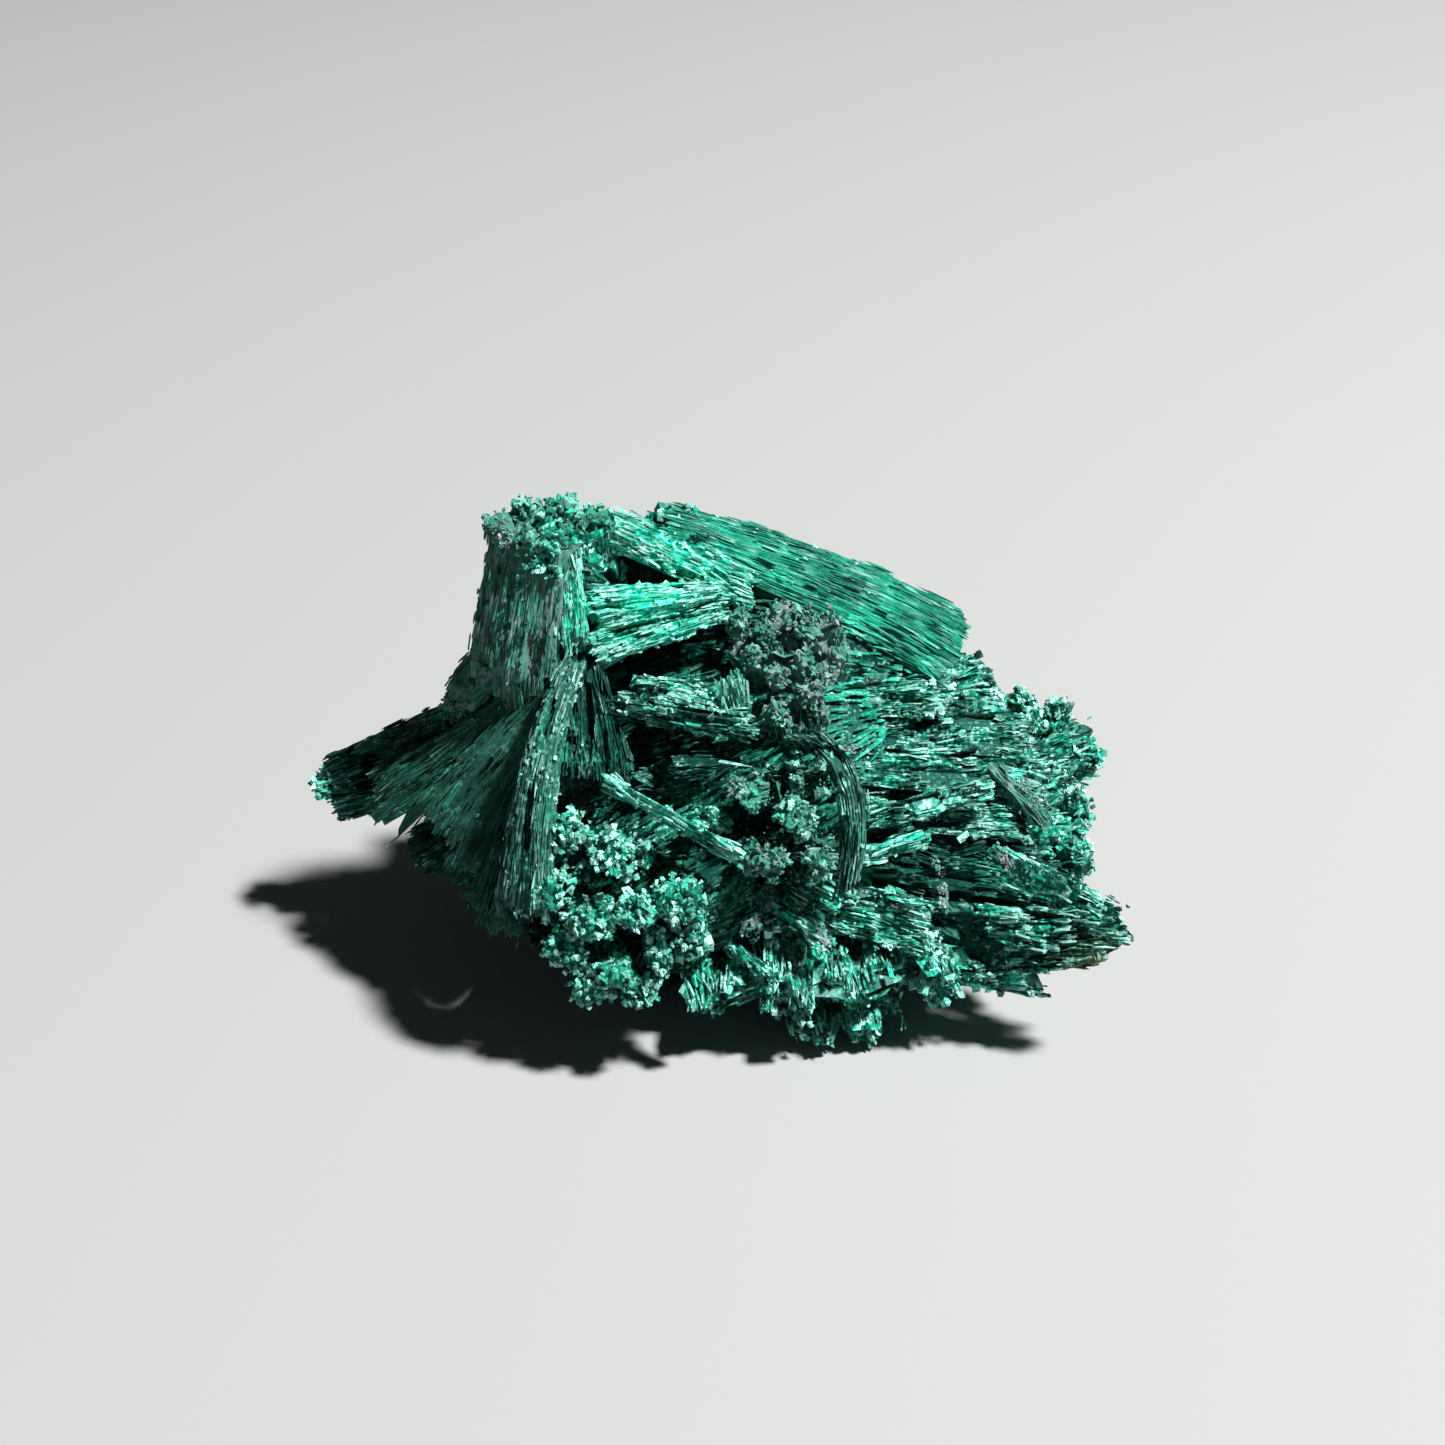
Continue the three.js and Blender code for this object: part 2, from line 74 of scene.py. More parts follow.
# The forms of the solid: how high a sheet's grooves are and how much lower its edges, as shares, the
# point that its top faces away from, and the massive hearts, each with centre and radii. The needles
# on the hearts run to NOSE.
GROOVE = 0.5
EDGE_DROP = 0.5
HEART = np.array([0.0, 0.0, 14.0])
HEARTS = [
    ((1, 3, 13), (16, 12, 11)),
    ((-10.5, 1, 21), (5, 5, 13.5)),
    ((5, 6, 20), (12.5, 6, 7)),
    ((16, 0, 9.5), (9.5, 9, 5.6)),
    ((-3, -7, 10), (9, 8, 7)),
]
NOSE = np.array([20.0, 5.0, 19.5])

# The camera: where it stands, how far it looks down, its focal length as a share of the picture's
# width, and how many millimetres wide the picture is at the cluster
EYE = np.array([1.3, -146.0, 105.0])
PITCH = 30.6
FOCAL = 1.592
PICTURE_WIDTH = 108.0

# A look says how a sheet's stone is split and how its needles lie, in millimetres and degrees.
# even is the share by which the grooves between bundles are filled, and thin how far the tip thins
# out. The stone is cut in splinters, wide across and reach long, and these in strands, and its rings
# of corners are pace apart. Splinters lie up to step under the top, and the share gaps of them is
# missing down to deep. needle and run are a needle's width and length, cover how many overlap, yaw
# and pitch how far they turn, and blunt, fleck and blocks the shares that end square, are light all
# over, and lie together. grey is how weathered the sheet is, pale how light its broken ends, and grit
# how much its grains differ. dim is how dark the sheet is painted: partly its own tone, and partly
# painted shade where it lies in shade (dark, hollow, feather) and painted light where it faces the
# light (level, open, below 0). clumps of chips, of the size chip, are counted for each square
# millimetre.
LOOKS = {}


def add_look(name, like=None, **values):
    """Adds a look, which has the values of another one but for those given."""
    LOOKS[name] = SimpleNamespace(**{**(vars(LOOKS[like]) if like else {}), **values})


add_look("broken", even=0.3, thin=0.2, wide=1.3, reach=4, strand=0.27, pace=0.5, step=1, deep=1.8, gaps=0.32,
         needle=0.15, run=1.1, cover=0.9, yaw=9, pitch=5, blunt=0.6, fleck=0.3, grey=0.0, pale=1.4, dim=0.1,
         grit=1.1, blocks=0.75, clumps=0.8, chip=0.3)
# Broken sheets for the lower front and the rim, lighter and with more pale needles: painted light where they
# face the light
add_look("open", "broken", gaps=0.25, fleck=0.35, dim=-0.18, clumps=0.9)
# The level bundles, which face the light: much lighter, with many pale needles and ends, as painted light
add_look("level", "broken", thin=0.3, wide=0.8, reach=3, strand=0.24, pace=0.45, step=0.7, deep=0.9,
         gaps=0.14, run=1.2, yaw=6, pitch=2.5, fleck=0.85, pale=1.9, dim=-0.75, grit=1, blocks=0.7,
         clumps=0.9, chip=0.22)
add_look("hidden", "broken", reach=4.5, strand=0.5, pace=1, step=0.6, deep=1, gaps=0.2, needle=0.22, run=2.4,
         cover=0.45, yaw=4, pitch=3, blunt=0.4, fleck=0.08, grey=0.1, pale=0.6, dim=0, grit=0.6, blocks=0.5,
         clumps=0.15)
add_look("crumbly", "broken", wide=0.9, reach=1.6, strand=0.35, step=0.9, deep=1.2, gaps=0.3, needle=0.17,
         run=1, cover=0.7, yaw=20, pitch=14, blunt=0.8, fleck=0.2, grey=0.05, pale=1.2, dim=-0.15, grit=1,
         blocks=0.7, clumps=1.8, chip=0.34)
add_look("dull", "crumbly", fleck=0.1, grey=0.6, pale=0.8, dim=0.15, chip=0.3)
add_look("granular", "broken", even=0.7, wide=1, reach=1, strand=0.5, pace=0.45, step=0.9, deep=1, gaps=0.25,
         needle=0.2, run=0.8, cover=0.15, yaw=12, pitch=6, grey=0.95, pale=1.1, dim=0, grit=1.2, blocks=0,
         clumps=6.4, chip=0.17)
# Sheets that lie in shade, as on the fan, under the blades and in the pockets: painted darker, as shade
add_look("dark", "broken", thin=0.3, wide=1.1, strand=0.26, pace=0.8, step=0.5, deep=0.8, gaps=0.25,
         needle=0.13, run=1.6, cover=0.7, yaw=5, pitch=2, blunt=0.3, fleck=0.04, grey=0.15, pale=0.5,
         dim=0.48, grit=0.6, blocks=0.6, clumps=0.2, chip=0.18)
# The deep pockets on the right: painted near black, as their shade
add_look("hollow", "dark", step=0.9, deep=1.2, gaps=0.3, run=1.4, cover=0.8, yaw=8, pitch=3, blunt=0.4,
         grey=0.1, pale=0.7, dim=0.6)
add_look("fine", even=0.5, thin=0.3, wide=1, reach=5, strand=0.22, pace=0.7, step=0.3, deep=0.6, gaps=0.2,
         needle=0.12, run=1.2, cover=0.8, yaw=4, pitch=1.4, blunt=0.4, fleck=0.22, grey=0.35, pale=1.05,
         dim=0.45, grit=1, blocks=0.4, clumps=0.7, chip=0.16)
# The feathery fan on the shaded left: its dim is painted shade, its grey the fan's own dull tone
add_look("feather", "fine", thin=0.4, wide=0.9, step=0.4, deep=0.7, gaps=0.22, needle=0.11, run=1.6,
         pitch=1.8, blunt=0.25, fleck=0.03, grey=0.55, pale=0.3, dim=0.48, grit=0.7, blocks=0.3,
         clumps=0.1, chip=0.14)
add_look("packed", "fine", even=0.85, thin=0.7, wide=1.3, pace=0.6, step=0.22, deep=0.8, gaps=0.1,
         needle=0.11, run=1.1, yaw=5, fleck=0.2, grey=0.9, pale=1.1, dim=-0.1, grit=0.8, blocks=0.3,
         clumps=0.35, chip=0.13)
add_look("silky", "fine", even=0.9, thin=0.2, wide=1.4, reach=8, pace=0.8, step=0.15, deep=0.5, gaps=0.01,
         run=2.2, yaw=2, pitch=0.8, blunt=0.2, fleck=0.1, grey=0.0, pale=1, dim=-0.05, grit=0.25, blocks=0.3,
         clumps=0.3)


class Sheet:
    """A sheet of bundles: the ends of its middle line, the way its width runs, its width and
    thickness at the tip, the share taper of them at the root, the number of bundles across it, how
    ragged its tip is, how far the outer bundles fall short, and how its middle line bends."""

    def __init__(self, look, root, tip, side, width, thick, taper, across, ragged, crown=0.04, bow=(0, 0, 0)):
        self.look = LOOKS[look]
        self.root, tip = np.array(root, float), np.array(tip, float)
        self.length = np.linalg.norm(tip - self.root)
        self.axis = (tip - self.root) / self.length
        side = np.array(side, float)
        side -= self.axis * (side @ self.axis)
        side /= np.linalg.norm(side)
        normal = np.cross(self.axis, side)
        turn = -1 if normal @ ((self.root + tip) / 2 - HEART) < 0 else 1
        self.side, self.normal = turn * side, turn * normal
        self.width, self.thick, self.taper = width, thick, taper
        self.across, self.ragged, self.crown = across, ragged, crown
        self.groove = GROOVE + (1 - GROOVE) * self.look.even
        self.bow = np.array(bow, float)

    def top(self, a):
        """Height of the top at a, from -1 to 1 across it, as a share of half the thickness:
        (1 - EDGE_DROP a^2) times a zigzag from 1 on each ridge down to its groove between two."""
        ridge = 1 - np.abs((a + 1) * self.across % 2 - 1)
        return (1 - EDGE_DROP * a ** 2) * (self.groove + (1 - self.groove) * ridge)

    def size(self, u):
        """The share of its width and thickness at u: from taper at the root to 1 at the tip."""
        return self.taper + (1 - self.taper) * u

    def point(self, a, height, u):
        """The point at share u of the middle line, a of the half width to the side and height
        millimetres above the middle: root + axis L u + side a W s / 2 + normal height +
        bow 4u(1-u), where s is the size at u."""
        across = a * self.width * self.size(u) / 2
        return (self.root + self.axis * (self.length * u)[..., None] + self.side * across[..., None]
                + self.normal * height[..., None] + self.bow * (4 * u * (1 - u))[..., None])

    def holds(self, points, margin):
        """Which points lie deeper than margin millimetres in the sheet: point turned round."""
        offset = points - self.root
        u = offset @ self.axis / self.length
        offset = offset - self.bow * (4 * u * (1 - u))[..., None]
        size = np.maximum(self.size(u), 0.05)
        half_width, half_thick = self.width * size / 2, self.thick * size / 2
        a, b = offset @ self.side / half_width, offset @ self.normal
        stop = 1 - self.ragged * 1.4 - margin / self.length
        return ((u > 0) & (u < stop) & (np.abs(a) < 1 - margin / half_width)
                & (b < self.top(np.clip(a, -1, 1)) * half_thick - margin) & (b > margin - 0.9 * half_thick))

    def half(self, u):
        """Half the thickness at u: thick s / 2, less the share thin of it that is lost over the
        last third towards the tip, as a square."""
        lost = self.look.thin * np.clip(3 * u - 2, 0, 1) ** 2
        return self.thick * np.maximum(self.size(u), 0.05) * (1 - lost) / 2

    def upper(self, a, u, depth, rise):
        """The point at a and u, depth under the grooved top where rise is 1, and on the sheet's
        sides where it is less. It goes down to 0.3 of the half thickness under the middle."""
        half = self.half(u)
        top = self.top(a) * rise * half
        lowest = np.minimum(-0.3 * half * np.sqrt(np.maximum(1 - a ** 2, 0)), top)
        height = np.maximum(top - depth * np.clip(2 * half / self.thick, 0.4, 1.1), lowest)
        return self.point(a, height, u)

    def lower(self, a, u, depth):
        """The point at a and u on the underside, which is half an ellipse, raised by depth but by
        no more than half of the way to the middle."""
        low = 0.8 * np.sqrt(1 - a ** 2) * self.half(u)
        return self.point(a, np.minimum(depth, 0.5 * low) - low, u)

    def split(self, rng):
        """Cuts the sheet in splinters, and these in strands, that lie at their own levels."""
        look = self.look
        self.cuts = []
        for wide, reach in ((look.wide, look.reach), (look.strand, 0.5 * look.reach)):
            strips = math.ceil(self.width / wide) + 2
            cells = math.ceil(self.length / (0.6 * reach)) + 3
            self.cuts.append(SimpleNamespace(
                wide=wide, reach=reach, shift=rng.random(), stretch=rng.uniform(0.6, 1.5, strips),
                phase=rng.random(strips), levels=rng.random((strips, cells))))

    def cell(self, cut, a, u):
        """Level of the cell at a and u, from 0 to 1, and the share along it. Strips of one width
        lie side by side, and each is cut in lengths of its own."""
        strip = ((a + 1) * self.width / 2 / cut.wide + cut.shift).astype(int)
        strip = np.clip(strip, 0, len(cut.phase) - 1)
        place = u * self.length / (cut.reach * cut.stretch[strip]) + cut.phase[strip]
        cell = np.clip(place.astype(int), 0, cut.levels.shape[1] - 1)
        return cut.levels[strip, cell], place - cell

    def relief(self, a, u):
        """Depth under the top, tone, and where a strand's end is. The depth is step (1 - L) +
        (0.05 + step / 3) (1 - M), and deep more where L < gaps, where L and M are the levels of
        splinter and strand. The tone is painted shade: it is lower where L and M, and so the cell, lie
        deeper, and lower still in the gaps."""
        look = self.look
        splinter, _ = self.cell(self.cuts[0], a, u)
        strand, share = self.cell(self.cuts[1], a, u)
        gap = splinter < look.gaps
        depth = look.step * (1 - splinter) + (0.05 + look.step / 3) * (1 - strand) + gap * look.deep
        # painted shade: darker the deeper the splinter and strand lie, and darker in the gaps
        tone = look.grit * (0.75 * (splinter - 0.5) + 0.4 * (strand - 0.5)) - 0.35 * gap
        return depth, tone, (share > 0.8) * (1 - gap)

    def ends(self, a):
        """Where the splinter at a starts and stops, as shares of the sheet's length."""
        start, _ = self.cell(self.cuts[0], a, 0 * a)
        stop, _ = self.cell(self.cuts[0], a, 1 + 0 * a)
        first = (0.3 + 1.5 * start) * min(1, self.length / 12) / self.length
        return first, 1 - self.crown * a ** 2 - (1.5 * self.ragged + 0.5 / self.length) * stop


# The sheets that each fibre piece covers, with the values that Sheet takes
SHEETS = {
    "left_column_fibres": [
        ("packed", (-11.5, 0, 35.2), (-13.8, -3.8, 21.6), (0.85, -0.5, 0.1), 7.6, 5.6, 0.9, 6, 0.14),
        ("crumbly", (-10, 3, 24), (-10.4, 1.6, 35.4), (0.95, 0.1, 0), 8, 6, 1.1, 3, 0.06),
        ("level", (-9.7, -1.8, 35), (-9.2, -4.4, 26.2), (0.9, 0.3, 0), 2.8, 2.4, 0.7, 2, 0.06),
        ("packed", (-13.4, -1, 26.2), (-18.6, -0.8, 20.4), (0.4, -0.85, 0.2), 5, 3.4, 0.8, 3, 0.1),
    ],
    "left_fan_fibres": [
        ("dark", (-13, 1, 17.8), (-29.3, 3, 10.7), (0.1, -0.6, -0.8), 5, 4.2, 1.7, 3, 0.05),
        ("feather", (-10.4, -4.4, 25.4), (-24.6, -3, 12.2), (0.5, -0.75, -0.4), 5.6, 2.6, 0.3, 3, 0.1),
        ("feather", (-10.4, -5, 25.4), (-19.8, -7.4, 13.4), (0.5, -0.75, -0.4), 6, 2.6, 0.3, 4, 0.09),
        ("feather", (-11, -6.4, 23), (-18.6, -9.4, 10.8), (0.6, -0.7, -0.3), 4.6, 2.4, 0.35, 3, 0.1),
        ("feather", (-11, -8, 21), (-15.4, -13, 8.6), (0.7, -0.6, -0.3), 5.2, 2.6, 0.35, 4, 0.08),
        ("dark", (-9, -2, 16), (-18.9, -6.2, 7.6), (0.5, -0.8, -0.2), 12, 4, 0.6, 5, 0.1),
        ("dark", (-10, -1, 14), (-22.8, -2.8, 8.2), (0.3, -0.9, -0.3), 5, 3, 0.6, 3, 0.08),
        ("dark", (-9, 3, 20), (-21, 5.4, 10), (0.4, 0.9, -0.2), 8, 4, 0.5, 3, 0.14),
    ],
    "cone_fibres": [
        ("fine", (-8.6, -4.6, 27.4), (-12.4, -16, 11.4), (0.9, -0.2, 0.3), 4.4, 3.6, 0.35, 2, 0.04,
         0.04, (-0.7, -1.2, 2.2)),
        ("dark", (-8.8, -4.8, 27), (-13.8, -12.2, 12.6), (0.7, -0.6, 0), 5, 3, 0.3, 4, 0.08),
        ("hollow", (-8.3, -4.8, 27.2), (-7.4, -10.4, 18.6), (0.97, 0.2, 0), 6.4, 3, 0.3, 5, 0.08),
    ],
    "front_heap_fibres": [
        ("crumbly", (-6, -8, 12), (-7.4, -14.4, 16.6), (0.97, -0.1, 0.15), 7, 6, 0.8, 4, 0.1),
        ("crumbly", (-8, -8, 12), (-10.6, -16.4, 12.6), (0.8, -0.4, -0.3), 6, 4, 0.7, 3, 0.08),
        ("crumbly", (-5, -8, 9), (-7.6, -17.4, 8.8), (0.85, -0.3, -0.3), 8, 3.6, 0.6, 4, 0.06),
        ("dark", (-5, -6, 8), (-12, -13.6, 7.8), (0.7, -0.7, 0), 6, 3, 0.8, 3, 0.1),
        ("crumbly", (-2, -7, 11), (-2.4, -16.6, 11.6), (0.9, 0, -0.3), 6, 5, 0.6, 3, 0.12),
        ("crumbly", (-1.4, -14, 12), (0, -17.9, 5.5), (1, 0, 0), 2, 1.6, 1.1, 1, 0),
    ],
    "middle_blade_fibres": [
        ("level", (-7.4, -10.6, 20.6), (2.8, -15.8, 17.1), (0.3, -0.5, 0.8), 1.8, 1.5, 0.8, 1, 0),
        ("broken", (4.4, -6, 21.4), (-7.2, -6.8, 24), (0.1, -0.6, 0.8), 2.6, 2, 0.9, 2, 0.12),
        ("broken", (4, -3, 21.6), (-5.2, -4.6, 24.3), (0.1, -0.95, 0.1), 4, 1.8, 0.8, 2, 0.16),
        ("level", (2.4, -4.4, 21), (1.7, -4.3, 25.2), (0.9, 0, 0.3), 2.4, 1.1, 0.9, 1, 0),
        ("dark", (2.4, -4, 16.6), (-4.6, -9.4, 19.8), (0.3, -0.5, 0.8), 5.4, 3, 0.8, 3, 0.12),
        ("level", (1, -9, 15), (-0.9, -13.2, 19), (0.9, 0.2, 0.3), 3, 1.8, 0.9, 2, 0.08),
        ("dark", (3, -6, 12), (-2.6, -14.2, 15.2), (0.8, -0.5, -0.3), 6, 2.6, 0.8, 3, 0.16),
    ],
    "level_bundle_fibres": [
        ("level", (2.4, 1.6, 28.2), (-9.2, -3, 28), (0.05, -0.75, -0.66), 6.4, 5.4, 0.4, 5, 0.06),
        ("level", (4.4, 3.4, 27.2), (-8.4, 3.4, 33.8), (0.1, -0.85, -0.45), 3.8, 3, 0.9, 3, 0.06),
        ("dark", (-3.4, 6.6, 20), (-4, 6, 31.4), (1, 0, 0.1), 9, 3.4, 0.9, 3, 0.04),
    ],
    "crest_fibres": [
        ("silky", (-4.8, 7.6, 30.9), (19.6, 6.2, 20.2), (0.02, -0.9, -0.42), 8, 5.4, 0.6, 5, 0.02,
         0.04, (0, 0, 1)),
        ("silky", (-2.6, 9, 30.6), (15, 8.6, 22.8), (0.02, -0.95, 0.1), 4, 4.2, 0.8, 2, 0.06),
        ("broken", (6, 1, 20.6), (18.6, 2.4, 20), (0.1, -0.9, -0.4), 5.4, 2.8, 0.7, 3, 0.08),
        ("crumbly", (13, 5, 15), (22.6, 6.4, 18.1), (0, 0.85, 0.5), 7.4, 4.6, 0.8, 3, 0.05, 0.06),
    ],
    "grey_wall_fibres": [
        ("granular", (8, 4, 16), (5.6, -1.4, 27.2), (0.95, 0.2, -0.1), 8.4, 6.4, 0.85, 4, 0.03),
        ("granular", (7, 0, 15), (6.4, -5.6, 23.4), (0.95, 0.1, 0.1), 4.6, 4, 0.9, 2, 0.05),
    ],
    "mound_fibres": [
        ("dull", (6, -3, 15), (5.8, -11, 20.6), (0.98, 0.1, 0.1), 6.6, 4.6, 0.8, 4, 0.06),
        ("dull", (6, -4, 11), (6, -14, 16.2), (0.98, 0.1, 0), 8, 5.4, 0.7, 4, 0.07),
        ("fine", (6, -7.6, 22.4), (9.8, -15, 13.6), (0.7, -0.5, 0.3), 2.4, 1.7, 0.9, 1, 0,
         0.04, (2, 0.5, 2.2)),
    ],
    "right_shelf_fibres": [
        ("broken", (9, -1, 19.4), (24.6, 2.6, 17.2), (-0.1, -0.93, -0.33), 7.4, 2, 0.6, 4, 0.08),
        ("broken", (9, -4, 18), (25.6, -1, 15.4), (-0.1, -0.9, -0.35), 7, 1.9, 0.6, 4, 0.08),
        ("broken", (9.5, -6, 15.6), (25, -4.4, 14), (0.05, -0.93, -0.3), 7, 1.9, 0.6, 4, 0.1),
        ("broken", (9.4, -10.6, 16.6), (21, -6, 16.8), (0.1, -0.4, 0.9), 2.2, 2.2, 0.9, 1, 0),
        ("level", (10.4, -11, 14), (16, -9.6, 15), (0.1, -0.5, 0.8), 1.8, 1.8, 0.9, 1, 0),
        ("hollow", (10, -7, 12), (24.6, -9, 12), (-0.05, -0.92, -0.35), 7, 2.2, 0.6, 4, 0.12),
        ("hollow", (14, -7, 12.6), (26.2, -11, 9.6), (0.4, -0.5, -0.75), 5.6, 2.6, 0.6, 4, 0.06),
        ("open", (19, -8.4, 12.4), (29.4, -14.6, 10.7), (0.4, -0.5, -0.75), 3.2, 1.8, 1.1, 3, 0.08, 0.14),
        ("packed", (20.6, -3, 17), (25, -7.4, 14), (0.6, 0.6, -0.4), 1.6, 1.4, 0.8, 1, 0),
        ("hollow", (10, -7, 11.4), (20, -11.6, 9.4), (0.2, -0.8, -0.5), 5, 2.4, 0.7, 3, 0.14),
    ],
    "right_rim_fibres": [
        ("broken", (11, -11, 7), (30.3, -15.9, 10.5), (0.1, -0.45, -0.9), 3.4, 2.2, 2, 4, 0.03, 0.16),
        ("open", (12, -9, 5.8), (25.2, -14.8, 7.2), (0.3, -0.5, -0.8), 4.6, 3, 1.2, 3, 0.08),
        ("crumbly", (17, 3, 12.8), (30.2, 3.8, 14.2), (0.1, 0.93, 0.2), 7, 4.6, 0.9, 3, 0.04, 0.16),
        ("broken", (16, 1, 12), (26.4, 2.6, 14.8), (0, 0.95, 0.2), 6, 3, 0.9, 2, 0.05),
        ("crumbly", (16, 0.4, 10.6), (27.2, -0.2, 12), (0, 0.93, 0.3), 5, 4, 0.9, 2, 0.05),
        ("crumbly", (16, -3, 9.4), (29.1, -4.2, 10.8), (-0.05, 0.93, 0.3), 8, 4.8, 0.8, 4, 0.04, 0.16),
    ],
    "lower_front_fibres": [
        ("broken", (6, -7, 10.6), (8, -13.6, 10), (0.97, 0.1, 0.1), 11, 3.4, 0.8, 5, 0.2),
        ("open", (3, -8.6, 11.6), (10.6, -14.6, 10.2), (-0.4, -0.7, -0.5), 5, 2.6, 0.8, 3, 0.2),
        ("open", (8, -10.6, 10), (17.4, -13.6, 9.4), (0.1, -0.7, -0.7), 4, 2.4, 0.9, 3, 0.2),
        ("open", (1.6, -11.6, 8), (4.6, -16.4, 7.2), (0.6, 0.3, -0.5), 2.6, 1.6, 0.8, 2, 0.2),
        ("open", (5, -5, 8.6), (5.3, -17.2, 4.8), (1, 0.03, 0.05), 12, 5, 0.8, 5, 0.15),
        ("open", (13, -5, 8), (16.5, -16.2, 5.7), (0.93, 0.3, 0.1), 11, 4.6, 0.8, 5, 0.15),
        ("open", (8, -4, 6), (10.9, -16.7, 1.2), (1, 0, 0.05), 8.4, 3, 0.9, 4, 0.14),
    ],
    "back_fibres": [
        ("hidden", (-1, 5, 21), (2, 16, 20), (0.93, -0.1, -0.36), 19, 6, 0.7, 6, 0.1),
        ("hidden", (-8, 3, 22), (-11, 11.6, 24), (0.8, 0.4, 0.1), 8, 6, 0.7, 3, 0.12),
        ("hidden", (-6, 4, 14), (-15, 15, 12.6), (0.7, 0.6, 0.3), 11, 8, 0.5, 4, 0.12),
        ("hidden", (2, 5, 12), (3, 19.7, 13), (1, 0, -0.1), 20, 8, 0.6, 6, 0.12),
        ("hidden", (9, 5, 11), (21, 14.6, 9.6), (0.6, -0.75, 0.1), 12, 8, 0.5, 4, 0.12),
    ],
    "foot_fibres": [
        ("hidden", (3, 3, 8), (4, 14, 3.4), (1, 0, 0), 22, 4, 0.7, 6, 0.12),
        ("hidden", (-5, 0, 10), (-12.5, 1, 2), (0.1, 1, 0), 13, 5, 0.7, 4, 0.1),
        ("hidden", (14, 0, 9), (22, -1, 4.4), (0.1, 1, 0), 14, 4, 0.7, 4, 0.12),
        ("hidden", (3, -1, 8), (3.6, -2, -2), (1, 0, 0), 21, 19, 0.9, 4, 0.1),
    ],
}
PIECES = {name: [Sheet(*row) for row in rows] for name, rows in SHEETS.items()}
ALL_SHEETS = [one for sheets in PIECES.values() for one in sheets]
for number, one_sheet in enumerate(ALL_SHEETS):
    one_sheet.split(np.random.default_rng(number))

# Crumbly lumps on the broken ends: centre, radius and how weathered they are
LUMPS = [
    (-12.6, 1.4, 34.6, 1.9, 0.5), (-10, 1.2, 34.9, 1.9, 0.4), (-7.7, 2.2, 33.6, 1.6, 0.6),
    (-10.4, -1.4, 33.8, 1.5, 0.4), (-18, -1.2, 20.8, 1.4, 0.9), (-28.5, 3, 11.5, 1.7, 0.1),
    (-9.4, -13.2, 17.8, 1.8, 0), (-6.4, -14.2, 16.8, 2, 0), (-10.6, -15.6, 14.4, 1.7, 0.1),
    (-7.8, -16, 12.6, 1.8, 0.2), (-4.6, -16.2, 13.2, 1.8, 0), (-1.6, -15.8, 13.8, 1.9, 0),
    (-9.6, -16.4, 10, 1.6, 0.1), (-6.2, -17, 8.8, 1.7, 0.2), (-3, -16.8, 10, 1.6, 0),
    (-4.4, -17.6, 7.4, 1.3, 0.2), (-0.8, -16.6, 10.6, 1.4, 0), (-7.8, -17.2, 7.2, 1.5, 0.2),
    (2.4, 0.2, 26.9, 1.3, 0.8), (5.6, 0.2, 27.3, 1.3, 1), (8.6, 0.6, 26.4, 1.2, 1),
    (3.4, -2.8, 25.6, 1.2, 1), (7, -3, 25.2, 1.3, 1), (3.4, -11.6, 19.6, 1.4, 0.7),
    (6.4, -12.4, 18.4, 1.5, 0.6), (4.6, -13.8, 15.8, 1.5, 0.9), (8, -13.6, 15.4, 1.4, 0.6),
    (-3.6, 8, 31, 1.5, 0), (-1.2, 8.6, 31.2, 1.3, 0), (24.2, 6.6, 16.2, 1.6, 0.2),
    (26.8, 5.6, 15.4, 1.9, 0.2), (28.4, 2.8, 14.2, 1.9, 0.2), (27.6, -1.6, 12.2, 1.9, 0.1),
    (27, -6, 10.8, 1.8, 0.1), (25, 4.4, 15.9, 1.5, 0.2), (-14.3, 0.4, 34.3, 1.3, 0.95),
    (-13.7, -1.3, 34.4, 1.3, 0.95), (-12.2, -2.3, 34.6, 1.2, 0.7), (-10.6, -2.6, 34.4, 1.2, 0.2),
    (-12.6, -0.4, 34.1, 1.6, 0.8), (-10.8, -0.8, 34.2, 1.6, 0), (-10.6, -3.2, 33, 1, 0),
    (-11.6, -3, 33.4, 0.9, 0.3), (5.2, -3.8, 24.7, 1.2, 1), (7.6, -4.6, 23.6, 1.2, 1),
    (5, -5.6, 22.8, 1.1, 0.9), (8.4, -3.2, 24.4, 1.1, 1), (9.6, -1, 25, 1.1, 1), (4.4, -1.2, 26.9, 1.1, 1),
    (7.4, -1.2, 26.6, 1.1, 1), (9.4, -2.2, 25.4, 1.1, 1),
]

